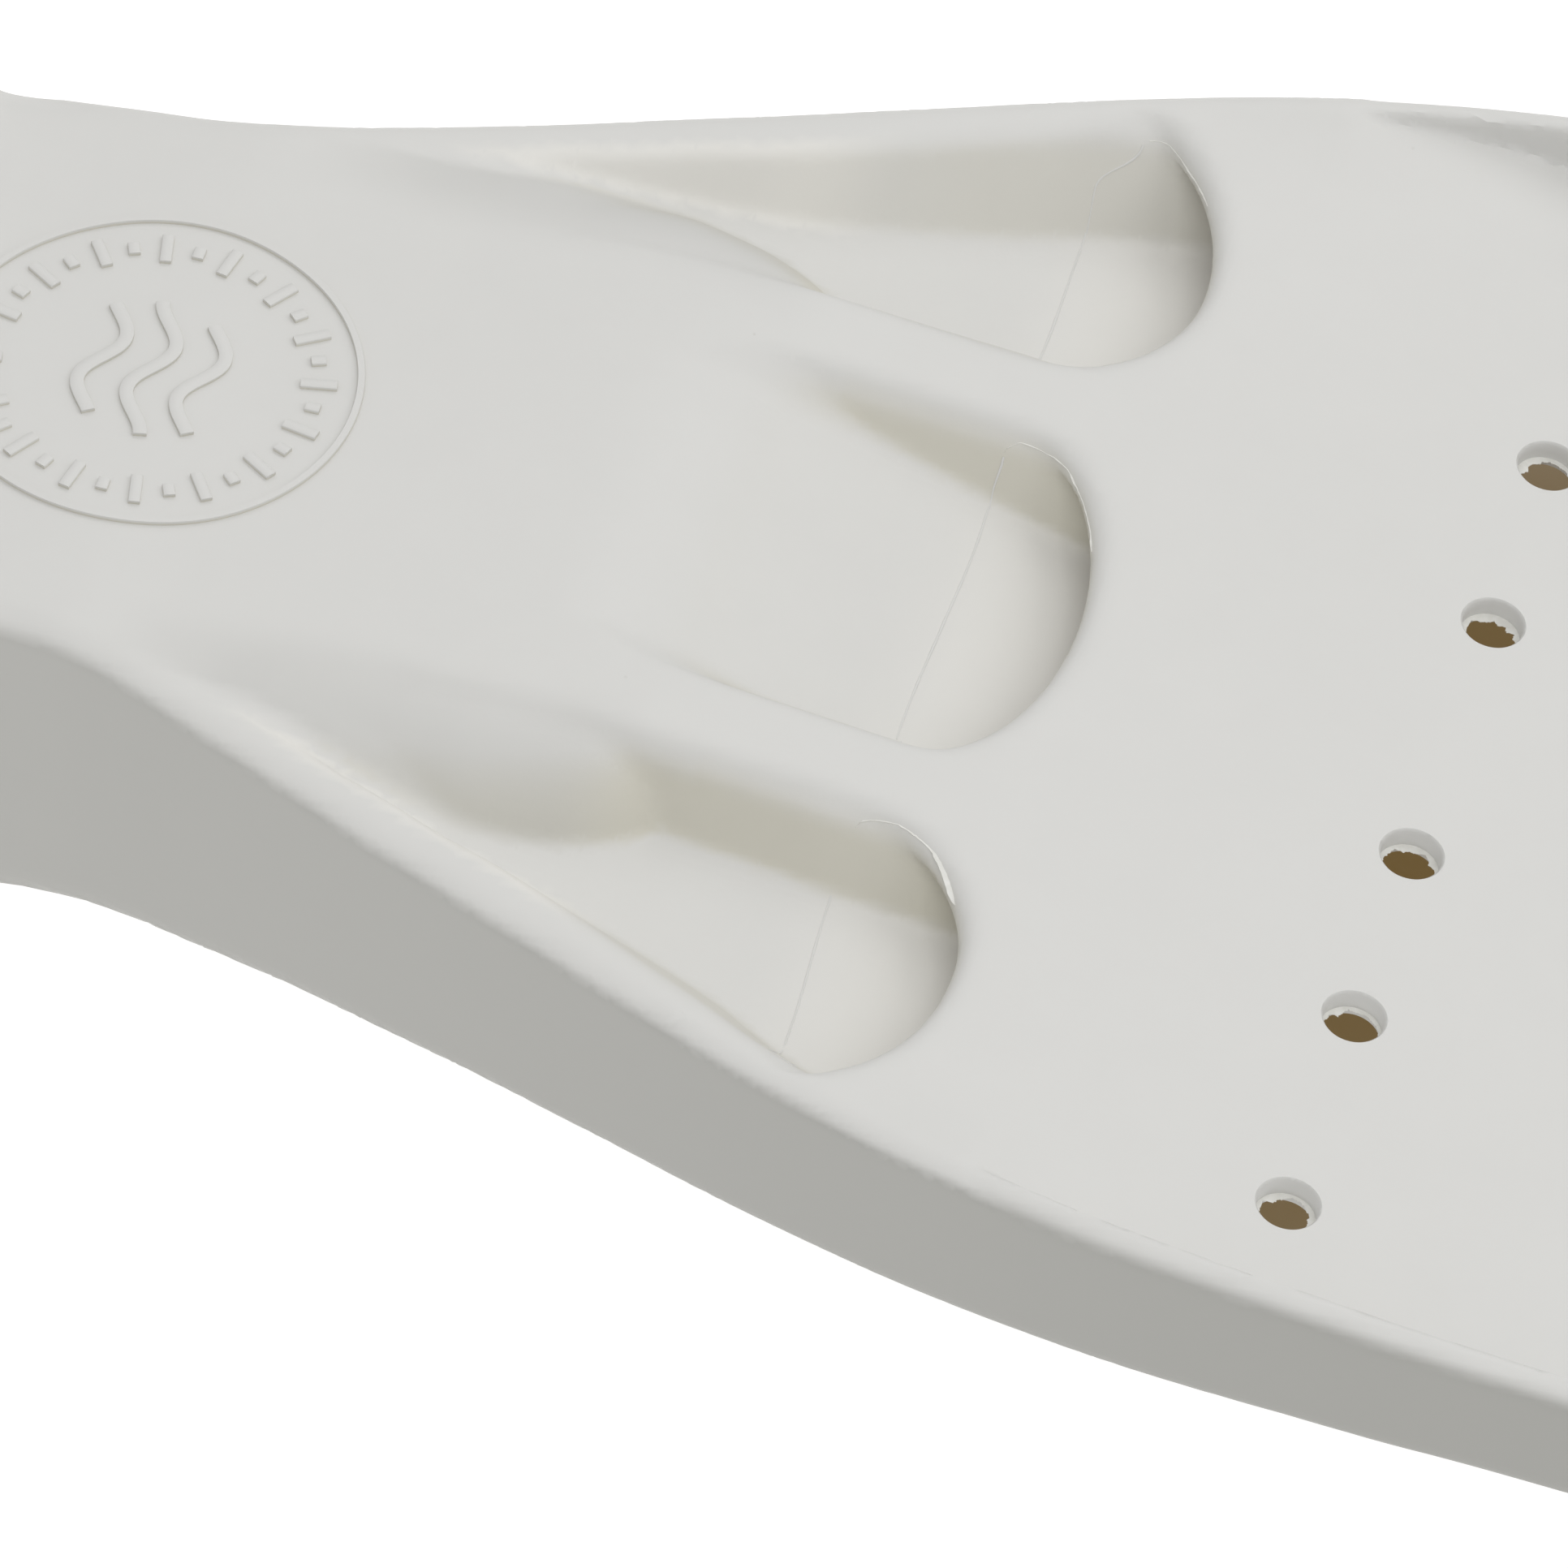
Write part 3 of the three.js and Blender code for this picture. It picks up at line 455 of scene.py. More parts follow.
def mix(nt, fac, a, b, blend="MIX"):
    n = nt.nodes.new("ShaderNodeMix")
    n.data_type = "RGBA"
    n.blend_type = blend
    for sock, v in ((n.inputs[0], fac), (n.inputs[6], a), (n.inputs[7], b)):
        if hasattr(v, "is_output"):
            nt.links.new(v, sock)
        elif isinstance(v, (int, float)) and sock.type == "VALUE":
            sock.default_value = v
        else:
            sock.default_value = (*v, 1)
    return n.outputs[2]


def bump(nt, height, strength, distance, normal=None):
    b = add(nt, "ShaderNodeBump", Strength=strength, Distance=distance)
    nt.links.new(height, b.inputs["Height"])
    if normal is not None:
        nt.links.new(normal, b.inputs["Normal"])
    return b.outputs[0]


def grey_rubber():
    """Pale moulded rubber: faint mottling, dust specks, an even fine skin."""
    m, nt, sh = nodes_of("pale_grey_rubber")
    co = nt.nodes.new("ShaderNodeTexCoord").outputs["Object"]
    big = noise(nt, co, 9, 2, 0.5)
    mid = noise(nt, co, 90, 4, 0.6)
    tone = ramp(nt, big.outputs[0], [(0.3, (0.650, 0.646, 0.625)), (0.7, (0.660, 0.656, 0.636))])
    tone2 = ramp(nt, mid.outputs[0], [(0.3, 0.985), (0.7, 1.0)])
    col = mix(nt, 1.0, tone.outputs[0], tone2.outputs[0], "MULTIPLY")
    vor = add(nt, "ShaderNodeTexVoronoi", Scale=150.0)
    nt.links.new(co, vor.inputs["Vector"])
    spot = ramp(nt, vor.outputs["Distance"], [(0.0, 1.0), (0.055, 0.0)])
    few = noise(nt, co, 32, 2, 0.5)
    keep = ramp(nt, few.outputs[0], [(0.60, 0.0), (0.68, 1.0)])
    speck = nt.nodes.new("ShaderNodeMath")
    speck.operation = "MULTIPLY"
    nt.links.new(spot.outputs[0], speck.inputs[0])
    nt.links.new(keep.outputs[0], speck.inputs[1])
    col = mix(nt, speck.outputs[0], col, (0.50, 0.48, 0.44))
    # painted from the mesh: warm painted shade on the vent walls, painted shade on the outer walls, painted light on
    # the vent floors
    for name, tint in (("warm", (0.90, 0.866, 0.735)), ("satin", (0.575, 0.575, 0.56)), ("pale", (1.12, 1.11, 1.09))):
        at = nt.nodes.new("ShaderNodeAttribute")
        at.attribute_name = name
        dark = mix(nt, 1.0, col, tint, "MULTIPLY")
        col = mix(nt, at.outputs["Fac"], col, dark)
    nt.links.new(col, sh.inputs["Base Color"])
    rough = ramp(nt, mid.outputs[0], [(0.2, 0.52), (0.8, 0.60)])
    nt.links.new(rough.outputs[0], sh.inputs["Roughness"])
    fine = noise(nt, co, 1500, 3, 0.5)
    n1 = bump(nt, fine.outputs[0], 0.10, 0.00012)
    n2 = bump(nt, mid.outputs[0], 0.05, 0.0003, n1)
    nt.links.new(n2, sh.inputs["Normal"])
    sh.inputs["Specular IOR Level"].default_value = 0.35
    return m


def flash_rubber():
    m, nt, sh = nodes_of("pale_rubber_flash")
    co = nt.nodes.new("ShaderNodeTexCoord").outputs["Object"]
    n = noise(nt, co, 700, 3)
    c = ramp(nt, n.outputs[0], [(0.3, (0.70, 0.695, 0.65)), (0.7, (0.78, 0.775, 0.74))])
    nt.links.new(c.outputs[0], sh.inputs["Base Color"])
    nt.links.new(bump(nt, n.outputs[0], 0.3, 0.0001), sh.inputs["Normal"])
    sh.inputs["Roughness"].default_value = 0.5
    return m


def black_rubber():
    m, nt, sh = nodes_of("black_moulded_rubber")
    co = nt.nodes.new("ShaderNodeTexCoord").outputs["Object"]
    big = noise(nt, co, 60, 4)
    fine = noise(nt, co, 1800, 2)
    c = ramp(nt, big.outputs[0], [(0.3, (0.018, 0.019, 0.021)), (0.7, (0.034, 0.035, 0.037))])
    nt.links.new(c.outputs[0], sh.inputs["Base Color"])
    r = ramp(nt, big.outputs[0], [(0.2, 0.52), (0.8, 0.68)])
    nt.links.new(r.outputs[0], sh.inputs["Roughness"])
    nt.links.new(bump(nt, fine.outputs[0], 0.35, 0.00012), sh.inputs["Normal"])
    return m


def steel(name, base=(0.56, 0.56, 0.57), low=0.2, high=0.36, turned=True):
    m, nt, sh = nodes_of(name)
    co = nt.nodes.new("ShaderNodeTexCoord").outputs["Object"]
    mp = add(nt, "ShaderNodeMapping")
    mp.inputs["Scale"].default_value = (40, 900, 40) if turned else (300, 300, 300)
    nt.links.new(co, mp.inputs[0])
    n = noise(nt, mp.outputs[0], 1.0, 3)
    c = ramp(nt, n.outputs[0], [(0.3, tuple(v * 0.92 for v in base)), (0.7, base)])
    nt.links.new(c.outputs[0], sh.inputs["Base Color"])
    r = ramp(nt, n.outputs[0], [(0.25, low), (0.75, high)])
    nt.links.new(r.outputs[0], sh.inputs["Roughness"])
    nt.links.new(bump(nt, n.outputs[0], 0.06, 0.00008), sh.inputs["Normal"])
    sh.inputs["Metallic"].default_value = 1.0
    return m


def acetal():
    m, nt, sh = nodes_of("dark_acetal")
    co = nt.nodes.new("ShaderNodeTexCoord").outputs["Object"]
    n = noise(nt, co, 400, 3)
    c = ramp(nt, n.outputs[0], [(0.3, (0.035, 0.036, 0.039)), (0.7, (0.05, 0.051, 0.054))])
    nt.links.new(c.outputs[0], sh.inputs["Base Color"])
    r = ramp(nt, n.outputs[0], [(0.3, 0.38), (0.7, 0.48)])
    nt.links.new(r.outputs[0], sh.inputs["Roughness"])
    return m


def webbing():
    """Rubber-coated woven tape: a fine herringbone under the coat."""
    m, nt, sh = nodes_of("coated_webbing")
    co = nt.nodes.new("ShaderNodeTexCoord").outputs["Object"]
    w = add(nt, "ShaderNodeTexWave", Scale=520.0, Distortion=1.2, Detail=2.0)
    w.wave_type = "BANDS"
    w.bands_direction = "DIAGONAL"
    nt.links.new(co, w.inputs["Vector"])
    c = ramp(nt, w.outputs[0], [(0.0, (0.018, 0.018, 0.02)), (1.0, (0.042, 0.042, 0.045))])
    nt.links.new(c.outputs[0], sh.inputs["Base Color"])
    nt.links.new(bump(nt, w.outputs[0], 0.5, 0.0003), sh.inputs["Normal"])
    sh.inputs["Roughness"].default_value = 0.66
    return m


RUBBER, FLASH, BLACK = grey_rubber(), flash_rubber(), black_rubber()
STEEL, WIRE = steel("turned_stainless"), steel("spring_wire", (0.6, 0.6, 0.61), 0.16, 0.26, False)
ACETAL, WEB = acetal(), webbing()


def paint(ob, mat):
    ob.data.materials.clear()
    ob.data.materials.append(mat)
    return ob


# ------------------------------------------------------------------ fin body
def cut(ob, cutter):
    mod = ob.modifiers.new("cut", "BOOLEAN")
    mod.operation = "DIFFERENCE"
    mod.solver = "EXACT"
    mod.object = cutter
    dg = bpy.context.evaluated_depsgraph_get()
    me = bpy.data.meshes.new_from_object(ob.evaluated_get(dg))
    ob.modifiers.clear()
    old = ob.data
    ob.data = me
    bpy.data.meshes.remove(old)
    bpy.data.objects.remove(cutter)


def hole_cutter():
    """Six plugs square to the blade, a little wider at its face, so each hole gets a broken edge."""
    bm = bmesh.new()
    sides, lip = 72, HOLE_R + 0.3
    for y in HOLES_Y:
        c = np.array([HOLE_X, y, blade_top(HOLE_X)])
        ends = []
        for h, r in ((-16, HOLE_R), (-0.35, HOLE_R), (0.0, lip), (6, lip)):
            mid = c + HOLE_AXIS * h
            ends.append([bm.verts.new(world(mid + HOLE_ALONG * r * math.cos(a) + ACROSS * r * math.sin(a)))
                         for a in np.linspace(0, 2 * math.pi, sides, endpoint=False)])
        for lo, hi in zip(ends, ends[1:]):
            for i in range(sides):
                j = (i + 1) % sides
                bm.faces.new((lo[i], lo[j], hi[j], hi[i]))
        bm.faces.new(ends[0][::-1])
        bm.faces.new(ends[-1])
    me = bpy.data.meshes.new("hole_cutter")
    bm.normal_update()
    bm.to_mesh(me)
    bm.free()
    ob = bpy.data.objects.new("hole_cutter", me)
    bpy.context.scene.collection.objects.link(ob)
    return ob


def tone(me):
    """Painted shade on the outer walls, warm painted shade in the vents and painted light on the vent floors, as
    three painted attributes.
    """
    P = np.empty(len(me.vertices) * 3, np.float32)
    me.vertices.foreach_get("co", P)
    P = P.reshape(-1, 3).astype(float) * 1000 - ORIGIN
    N = gradient(P)
    N /= np.maximum(np.linalg.norm(N, axis=1), 1e-9)[:, None]
    x, ay, z = P[:, 0], np.abs(P[:, 1]), P[:, 2]
    out = N[:, 1] * np.sign(P[:, 1])
    # painted shade on the outward side walls, stronger towards the tip
    satin = smooth((0.86 - N[:, 2]) / 0.62) * smooth(out / 0.25) * smooth((ay - half_width(x) + 7) / 4)
    satin *= 0.70 + 0.30 * smooth((x + 150) / 260)
    # warm painted shade on the walls deep in the vents, standing in for shade and warm bounce light
    level = np.where(x < -42, centre_top(x) - 0.5, blade_top(x))
    depth = level - z
    warm = smooth((depth - 0.3) / 4.6) * smooth((half_width(x) - 5.5 - ay) / 3)
    warm *= smooth((x + 118) / 10) * smooth((18 - x) / 6)
    wall = smooth((0.965 - N[:, 2]) / 0.35)
    warm *= 0.02 + 0.65 * wall + 0.08 * wall * smooth((x + 17) / 12) * smooth(depth / 6)
    # the walls under the rails see more light than the struts, so they get less of the warm painted shade
    rail_side = smooth((-out - 0.1) / 0.3) * smooth((ay - 40) / 8)
    warm *= 1 - rail_side * (0.45 + 0.50 * smooth((-30 - x) / 40))
    # the toe's flanks get painted shade too, less than the outer walls
    down = np.clip((ay - flank_crest(x)) / np.maximum(flank_foot(x) - flank_crest(x), 1), 0, 1)
    flank = smooth(down / 0.8) * smooth((flank_foot(x) + 1.5 - ay) / 2)
    flank *= smooth((-48 - x) / 12) * smooth((x + 125) / 25)
    satin += 0.24 * flank
    warm *= 1 - 0.45 * flank
    # painted light: lighter floors under the blade's edge, and lighter walls under the rails beside the toe
    pale = smooth((depth - 2) / 3) * smooth((N[:, 2] - 0.72) / 0.16)
    pale *= smooth((x + 30) / 24) * smooth((20 - x) / 6) * smooth((half_width(x) - 8 - ay) / 3)
    pale += rail_side * smooth((-45 - x) / 15) * smooth((x + 112) / 10)
    for name, v in (("satin", satin), ("warm", warm), ("pale", pale)):
        me.attributes.new(name, "FLOAT", "POINT").data.foreach_set("value", v.astype(np.float32))


def moulding():
    q = 1.0
    xs = stretch((-321, -190, 4.0 * q), (-190, -112, 1.9 * q), (-112, 60, 1.35 * q), (60, 110, 2.8 * q),
                 (110, 270, 5.5 * q), (270, 293, 1.9 * q))
    ys = stretch((-121, -94, 0.95 * q), (-94, 94, 1.55 * q), (94, 121, 0.95 * q))
    zs = stretch((-59, -26, 1.9 * q), (-26, 16, 1.2 * q), (16, 46, 2.2 * q))
    V, Q = skin(xs, ys, zs)
    ob = fast_mesh("fin_moulding", world(V), Q)
    cut(ob, hole_cutter())
    me = ob.data
    me.polygons.foreach_set("use_smooth", [True] * len(me.polygons))
    me.set_sharp_from_angle(angle=math.radians(48))
    paint(ob, RUBBER)
    tone(me)
    return ob


body = moulding()
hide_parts("fin_body")
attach(body, "fin")

# ------------------------------------------------------------------ fine detail on the moulding
def height(x, y, top=20.0, low=-26.0):
    """Highest point of the moulding over (x, y), by marching down and halving."""
    x, y = np.atleast_1d(np.asarray(x, float)), np.atleast_1d(np.asarray(y, float))
    z = np.full_like(x, top)
    live = np.ones_like(x, bool)
    while live.any() and z.max() > low:
        step = z - 0.4
        inside = fin(x, y, step) < 0
        live &= ~inside
        if not live.any():
            break
        z = np.where(live, step, z)
        live &= z > low
    lo, hi = z - 0.4, z.copy()
    for _ in range(14):
        mid = 0.5 * (lo + hi)
        inside = fin(x, y, mid) < 0
        lo, hi = np.where(inside, mid, lo), np.where(inside, hi, mid)
    return 0.5 * (lo + hi)


def normals(P):
    G = gradient(P)
    return G / np.maximum(np.linalg.norm(G, axis=1), 1e-9)[:, None]


def resample(P, step, closed=False):
    P = np.asarray(P, float)
    if closed:
        P = np.vstack([P, P[:1]])
    L = np.concatenate([[0], np.cumsum(np.linalg.norm(np.diff(P, axis=0), axis=1))])
    n = max(2, int(round(L[-1] / step)))
    t = np.linspace(0, L[-1], n + 1)
    if closed:
        t = t[:-1]
    return np.stack([np.interp(t, L, P[:, k]) for k in range(P.shape[1])], 1)


ROUND = ((-0.5, None), (-0.36, 0.72), (0.0, 1.0), (0.36, 0.72), (0.5, None))
SQUARE = ((-0.5, None), (-0.5, 0.86), (-0.44, 1.0), (0.44, 1.0), (0.5, 0.86), (0.5, None))


def bead(P, N, width, rise, closed=False, sink=0.12, section=ROUND):
    """A low rounded ridge along P standing on the surface whose normal is N."""
    n = len(P)
    if closed:
        T = np.roll(P, -1, 0) - np.roll(P, 1, 0)
    else:
        T = np.gradient(P, axis=0)
    T /= np.maximum(np.linalg.norm(T, axis=1), 1e-9)[:, None]
    S = np.cross(N, T)
    S /= np.maximum(np.linalg.norm(S, axis=1), 1e-9)[:, None]
    w = np.broadcast_to(np.asarray(width, float), (n,))[:, None]
    h = np.broadcast_to(np.asarray(rise, float), (n,))[:, None]
    rows = [P + S * w * a + N * (h * b if b is not None else -sink) for a, b in section]
    V = np.stack(rows, 1).reshape(-1, 3)
    return V, ring_faces(n, len(section), closed)


def gather(name, parts, mat, body_name="fin", smooth_shade=True):
    V, F, base = [], [], 0
    for v, f in parts:
        V.append(np.asarray(v, float))
        F += [tuple(i + base for i in g) for g in f]
        base += len(v)
    ob = mesh_object(name, world(np.vstack(V)), F, smooth_shade)
    ob.data.set_sharp_from_angle(angle=math.radians(50))
    bm = bmesh.new()
    bm.from_mesh(ob.data)
    bmesh.ops.recalc_face_normals(bm, faces=bm.faces)
    bm.to_mesh(ob.data)
    bm.free()
    paint(ob, mat)
    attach(ob, body_name)
    return ob


def on_surface(xy, step, closed=False):
    xy = resample(xy, step, closed)
    z = height(xy[:, 0], xy[:, 1])
    P = np.column_stack([xy, z])
    return P, normals(P)


rng = np.random.default_rng(7)


def wander(n, size, smoothness):
    a = rng.normal(0, 1, n + 4 * smoothness)
    k = np.ones(smoothness) / smoothness
    a = np.convolve(np.convolve(a, k, "same"), k, "same")[2 * smoothness:2 * smoothness + n]
    return a / max(1e-9, np.abs(a).max()) * size


# plain round badge on the toe: a ring, a ring of short bars, three level waves
def badge():
    cx, parts = -131.3, []

    def ridge(xy, step, w, h, closed=False):
        P, N = on_surface(xy, step, closed)
        parts.append(bead(P, N, w, h, closed, 0.12, SQUARE))

    a = np.linspace(0, 2 * np.pi, 240, endpoint=False)
    ridge(np.column_stack([cx + 28.6 * np.cos(a), 28.6 * np.sin(a)]), 0.7, 1.0, 0.62, True)
    for i in range(32):
        a = 2 * np.pi * i / 32
        r = np.array([20.4, 25.4]) if i % 2 else np.array([21.9, 23.9])
        ridge(np.column_stack([cx + r * np.cos(a), r * np.sin(a)]), 0.6, 1.6, 0.58)
    for k in (-1, 0, 1):
        half = 12.5 - 2.2 * abs(k)
        t = np.linspace(-half, half, 60)
        ridge(np.column_stack([cx + 7.0 * k + 2.1 * np.sin(t * 0.36), t]), 0.5, 1.9, 0.58)
    ob = gather("toe_badge", parts, RUBBER)
    # warm painted shade along the foot of every ridge of the badge
    foot = [1.0 if (i % 6) in (0, 5) else 0.0 for i in range(len(ob.data.vertices))]
    ob.data.attributes.new("warm", "FLOAT", "POINT").data.foreach_set("value", foot)
    return ob


badge()


# moulding lines: where the two halves of the mould met in each vent
def mould_lines():
    parts = []
    drift = wander(200, 0.15, 12)

    def line(y0, y1, x_of, w=0.36, h=0.15):
        y = np.linspace(y0, y1, 120)
        P, N = on_surface(np.column_stack([x_of(y), y]), 0.6)
        P[:, 0] += np.interp(np.arange(len(P)), np.arange(200), drift)
        parts.append(bead(P, N, w * (1 + wander(len(P), 0.25, 4)), h, sink=0.05))

    line(-22.5, 23.0, lambda y: -19.6 + 0.4 * np.sin(y / 9))
    # up the struts' walls in the middle vent
    line(23.0, 28.0, lambda y: -19.2 + 0.7 * smooth((y - 25.0) / 3.0))
    line(-28.0, -22.5, lambda y: -19.2 + 0.7 * smooth((-y - 25.0) / 3.0))
    for s in (1, -1):
        line(s * 52.0, s * 80.5, lambda y: -20.6 + 0.3 * np.sin(y / 7))
        # up the wall under the rail
        line(s * 80.5, s * 90.5, lambda y: -20.6 + 5.2 * smooth((np.abs(y) - 84.5) / 6.0))
    return gather("vent_mould_lines", parts, RUBBER)


mould_lines()


def on_rim(centre, angle, z):
    """Where a level ray from the middle of a vent meets the rim."""
    near, far = np.zeros(len(angle)), np.full(len(angle), 60.0)
    ray = np.column_stack([np.cos(angle), np.sin(angle)])
    for _ in range(26):
        mid = (near + far) / 2
        q = centre + ray * mid[:, None]
        free = fin(q[:, 0], q[:, 1], z) > 0
        near, far = np.where(free, mid, near), np.where(free, far, mid)
    return centre + ray * near[:, None], ray


# thin ragged flash where the two halves of the mould met round the rim of each vent
def edge_flash():
    parts = []
    # degrees round the bay from its front, and how far the flash is below the blade's face
    side_drop = ((-81, 3.1), (-80, 2.4), (-75, 1.8), (-68, 1.15), (-51, 1.05), (-42, 1.45), (-32, 2.0), (-24, 2.3),
                 (0, 2.4), (24, 2.1), (40, 2.05), (57, 2.25), (67, 1.8), (73, 2.2))
    mid_drop = ((-93, 4.4), (-92, 3.3), (-89, 2.4), (-81, 2.35), (-74, 1.9), (-67, 2.3), (0, 2.4),
                (67, 2.3), (74, 1.9), (81, 2.35), (89, 2.4), (92, 3.3), (93, 4.4))
    # centre x and y, drop, side, first and last degree: the mould leaves flash only where it has worn
    runs = ((-17.3, 0.0, mid_drop, 1, 5, 93), (-22.4, 66.5, side_drop, 1, 8, 73),
            (-22.4, 66.5, side_drop, -1, -81, 2))
    for cx, cy, drop, flip, first, last in runs:
        deg, low = np.array(drop).T
        a = np.linspace(first, last, 420)
        low = np.interp(a, deg, low)
        z = blade_top(np.full(len(a), cx + 8.0)) - low
        for _ in range(3):
            xy, ray = on_rim(np.array([cx, cy]), np.radians(a), z)
            z = blade_top(xy[:, 0]) - low
        step = np.r_[0, np.cumsum(np.linalg.norm(np.diff(np.column_stack([xy, z]), axis=0), axis=1))]
        t = np.arange(0, step[-1], 0.3)
        xy = np.column_stack([np.interp(t, step, xy[:, k]) for k in (0, 1)]) * (1, flip)
        ray = np.column_stack([np.interp(t, step, ray[:, k]) for k in (0, 1)]) * (1, flip)
        n = len(t)
        z = np.interp(t, step, z) + wander(n, 0.07, 6)
        reach = 0.06 + 0.07 * np.abs(wander(n, 1.0, 2)) + 0.15 * np.clip(wander(n, 1.3, 4), 0, 1)
        reach *= np.clip(np.minimum(np.arange(n), n - 1 - np.arange(n)) / 14.0, 0.05, 1)
        rows = []
        for r, dz in ((0.9, 0.14), (-reach, 0.06), (-reach, -0.06), (0.9, -0.14)):
            q = xy + ray * (np.asarray(r)[:, None] if np.ndim(r) else r)
            rows.append(np.column_stack([q, z + dz]))
        V = np.stack(rows, 1).reshape(-1, 3)
        parts.append((V, ring_faces(n, 4)))
    return gather("vent_edge_flash", parts, FLASH)


edge_flash()


# torn film left part way down each round hole
def hole_flash():
    parts = []
    n = 110
    a = np.linspace(0, 2 * np.pi, n, endpoint=False)
    round_ = np.cos(a)[:, None] * HOLE_ALONG + np.sin(a)[:, None] * ACROSS
    wall = np.full(n, HOLE_R + 0.15)
    for k, y in enumerate(HOLES_Y):
        lump = wander(n, 1.0, 7) * np.clip(np.minimum(np.arange(n), n - 1 - np.arange(n)) / 10.0, 0, 1)
        inner = HOLE_R - 0.35 - 0.9 * np.abs(lump) - 0.12 * np.abs(rng.normal(0, 1, n))
        inner -= 0.6 * np.clip(np.cos(a - 1.6 - 0.9 * k), 0, 1) ** 2
        c = np.array([HOLE_X, y, blade_top(HOLE_X)]) - HOLE_AXIS * 3.1
        rows = []
        for r, dz in ((wall, 0.08), (inner, 0.05), (inner, -0.05), (wall, -0.08)):
            rows.append(c + r[:, None] * round_ + HOLE_AXIS * dz)
        V = np.stack(rows, 1).reshape(-1, 3)
        parts.append((V, ring_faces(n, 4, closed=True)))
    return gather("hole_flash", parts, FLASH, smooth_shade=False)


hole_flash()


# ------------------------------------------------------------------ strap hardware
# drawn level about the post axis (local millimetres), then tilted into place
def strap_world(P):
    P = np.asarray(P, float)
    c, s = math.cos(TILT), math.sin(TILT)
    x = P[:, 0] * c + P[:, 2] * s
    z = -P[:, 0] * s + P[:, 2] * c
    return world(np.column_stack([x + POST[0], P[:, 1], z + POST[1]]))


def tube(path, radius, sides):
    """A round wire along a path, with its frame carried along."""
    P = np.asarray(path, float)
    T = np.gradient(P, axis=0)
    T /= np.linalg.norm(T, axis=1)[:, None]
    u = np.cross(T[0], [0, 0, 1.0])
    u /= np.linalg.norm(u)
    V = []
    for p, t in zip(P, T):
        u = u - t * (u @ t)
        u /= np.linalg.norm(u)
        v = np.cross(t, u)
        for a in np.linspace(0, 2 * np.pi, sides, endpoint=False):
            V.append(p + radius * (math.cos(a) * u + math.sin(a) * v))
    return np.array(V), ring_faces(len(P), sides)


def coil(side_sign, name):
    """Close-wound extension spring between the boot's anchor and the pad's end plug."""
    a, b = np.array([-43.5, 60.6, 0]), np.array([-99.0, 50.2, 0])
    d = b - a
    L = np.linalg.norm(d)
    d /= L
    u = np.array([-d[1], d[0], 0])
    v = np.array([0, 0, 1.0])
    wire, turns = 1.0, 27
    n = turns * 22
    t = np.linspace(0, 1, n + 1)
    r = 6.0 - wire
    turn = t * turns * 2 * np.pi
    path = a + np.outer(wire + t * (L - 2 * wire), d) + r * (np.outer(np.cos(turn), u) + np.outer(np.sin(turn), v))
    V, F = tube(path, wire * 0.98, 8)
    V[:, 1] *= side_sign
    if side_sign < 0:
        F = [f[::-1] for f in F]
    ob = mesh_object(name, strap_world(V), F)
    paint(ob, WIRE)
    a[1] *= side_sign
    b[1] *= side_sign
    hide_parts(name.replace("_wire", ""))
    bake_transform(ob)
    return ob


coil(1, "heel_spring_left_wire")
coil(-1, "heel_spring_right_wire")

# ------------------------------------------------------------------ carried-over nodes
LOOKS = {"strap_post": STEEL, "post_washer": STEEL, "post_screw": STEEL, "boot_bushing": ACETAL, "swivel_boot": BLACK,
         "spring_anchor": STEEL, "anchor_pin": STEEL, "heel_spring": WIRE, "end_plug": STEEL, "heel_pad": BLACK,
         "loop_pin": STEEL, "pull_loop": WEB, "fin_body": RUBBER}
for name, ob in frame["nodes"].items():
    key = name.replace("_left", "").replace("_right", "")
    if key in LOOKS:
        for i in range(len(ob.material_slots)):
            ob.material_slots[i].link = "OBJECT"
            ob.material_slots[i].material = LOOKS[key]

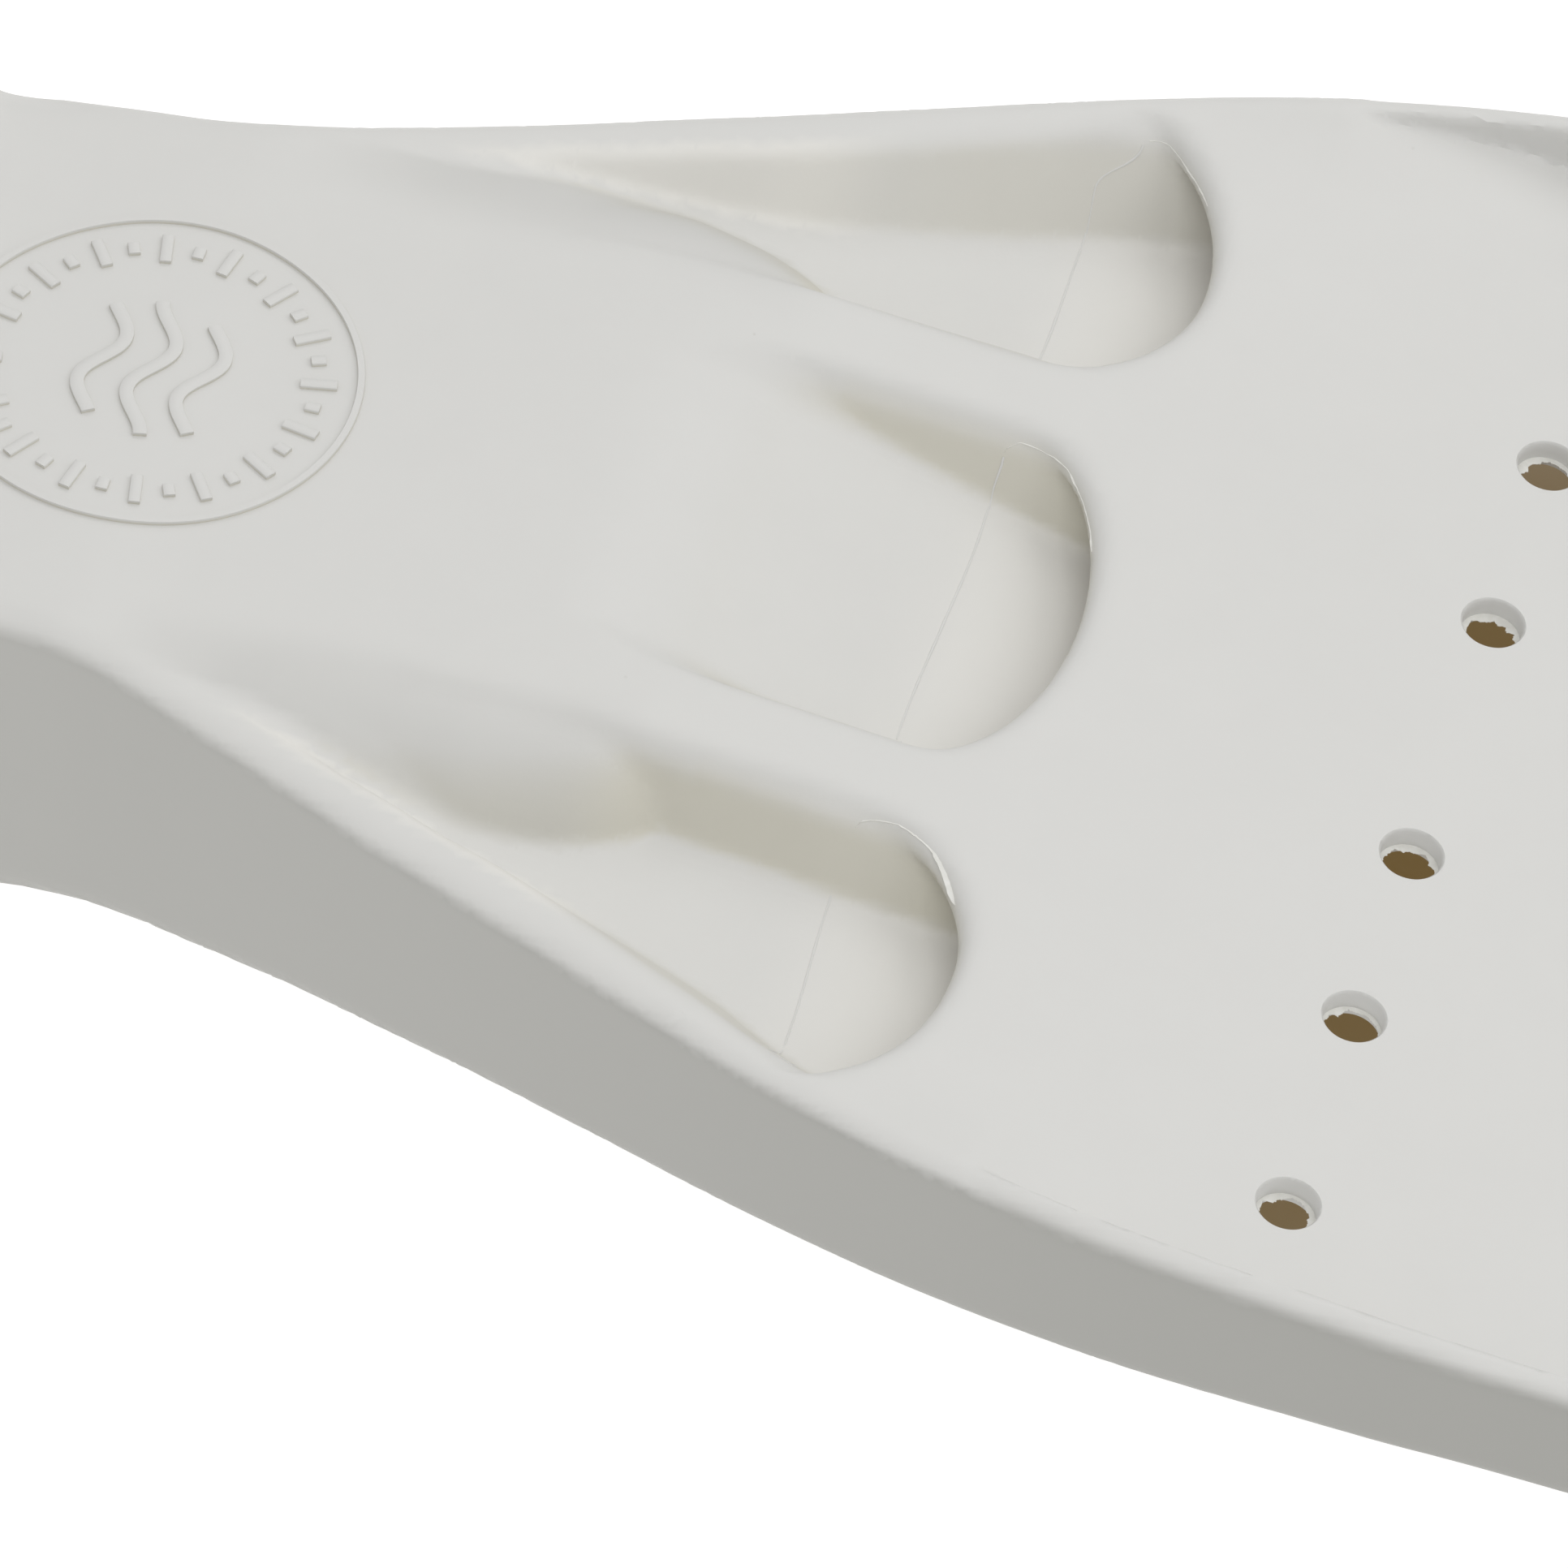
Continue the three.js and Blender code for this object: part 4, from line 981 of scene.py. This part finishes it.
# ------------------------------------------------------------------ stage
def floor():
    """Pale floor that glows evenly all round, with a painted brown shadow where the fin covers it."""
    s = 6.0
    ob = mesh_object("stage_floor", [(-s, -s, 0), (s, -s, 0), (s, s, 0), (-s, s, 0)], [(0, 1, 2, 3)], False)
    m, nt, sh = nodes_of("white_floor")
    sh.inputs["Base Color"].default_value = (0.22, 0.215, 0.2, 1)
    sh.inputs["Roughness"].default_value = 0.9
    sh.inputs["Specular IOR Level"].default_value = 0.05
    sh.inputs["Emission Color"].default_value = (1, 1, 1, 1)
    co = nt.nodes.new("ShaderNodeTexCoord").outputs["Object"]
    sep = nt.nodes.new("ShaderNodeSeparateXYZ")
    nt.links.new(co, sep.inputs[0])

    def math_node(op, a, b):
        n = nt.nodes.new("ShaderNodeMath")
        n.operation = op
        for k, v in ((0, a), (1, b)):
            if hasattr(v, "is_output"):
                nt.links.new(v, n.inputs[k])
            else:
                n.inputs[k].default_value = v
        return n.outputs[0]

    def edge(sock, lo, hi):
        r = add(nt, "ShaderNodeMapRange")
        r.interpolation_type = "SMOOTHSTEP"
        r.inputs["From Min"].default_value = lo
        r.inputs["From Max"].default_value = hi
        nt.links.new(sock, r.inputs[0])
        return r.outputs[0]

    # the painted shadow's strip: its near and far borders, along the length
    def border(lo, hi, from_min=-0.13, from_max=0.07):
        n = add(nt, "ShaderNodeMapRange")
        n.interpolation_type = "SMOOTHSTEP"
        for k, v in (("From Min", from_min), ("From Max", from_max), ("To Min", lo), ("To Max", hi)):
            n.inputs[k].default_value = v
        nt.links.new(sep.outputs[0], n.inputs[0])
        return n.outputs[0]

    near = edge(math_node("SUBTRACT", border(-0.014, -0.062), sep.outputs[1]), 0.0, 0.014)
    far = edge(math_node("SUBTRACT", sep.outputs[1], border(0.078, 0.148, -0.12, 0.05)), 0.0, 0.016)
    ends = math_node("MAXIMUM", edge(sep.outputs[0], -0.17, -0.21), edge(sep.outputs[0], 0.27, 0.31))
    glow = math_node("MAXIMUM", math_node("MAXIMUM", near, far), ends)
    # painted shadow: a dark brown glow under the fin, a white glow outside the covered strip
    under = mix(nt, glow, (0.112, 0.066, 0.014), (1.0, 1.0, 1.0))
    nt.links.new(under, sh.inputs["Emission Color"])
    sh.inputs["Emission Strength"].default_value = 0.93
    paint(ob, m)


floor()


def softbox(name, loc, target, size, power, color=(1, 1, 1)):
    d = bpy.data.lights.new(name, "AREA")
    d.shape = "RECTANGLE"
    d.size, d.size_y = size
    d.energy = power
    d.color = color
    ob = bpy.data.objects.new(name, d)
    bpy.context.scene.collection.objects.link(ob)
    ob.location = loc
    ob.rotation_euler = (Vector(target) - Vector(loc)).to_track_quat("-Z", "Y").to_euler()
    return ob


softbox("overhead", (0.42, -0.85, 2.15), (0.02, 0, 0), (1.7, 1.5), 14.4)
softbox("back_fill", (0.0, 1.5, 1.8), (0, 0, 0), (1.8, 1.2), 8.0)
softbox("tip_side", (1.9, 0.5, 1.5), (0, 0, 0), (1.4, 1.4), 9.5)
w = bpy.data.worlds.new("soft_white")
w.use_nodes = True
w.node_tree.nodes["Background"].inputs[0].default_value = (1, 1, 1, 1)
w.node_tree.nodes["Background"].inputs[1].default_value = 0.60
bpy.context.scene.world = w
bpy.context.scene.view_settings.view_transform = "Standard"

# ------------------------------------------------------------------ camera
az, el = math.radians(15.4537), math.radians(46.2189)
back = Vector((math.sin(az) * math.cos(el), -math.cos(az) * math.cos(el), math.sin(el)))
cam = bpy.data.cameras.new("photo_view")
cam.lens, cam.sensor_width = 483.03, 36.0
cam.clip_start, cam.clip_end = 0.05, 40
cam_ob = bpy.data.objects.new("photo_view", cam)
bpy.context.scene.collection.objects.link(cam_ob)
cam_ob.location = Vector(world((490.5, -1926.0, 2041.05)))
cam_ob.rotation_euler = (-back).to_track_quat("-Z", "Y").to_euler()
bpy.context.scene.camera = cam_ob
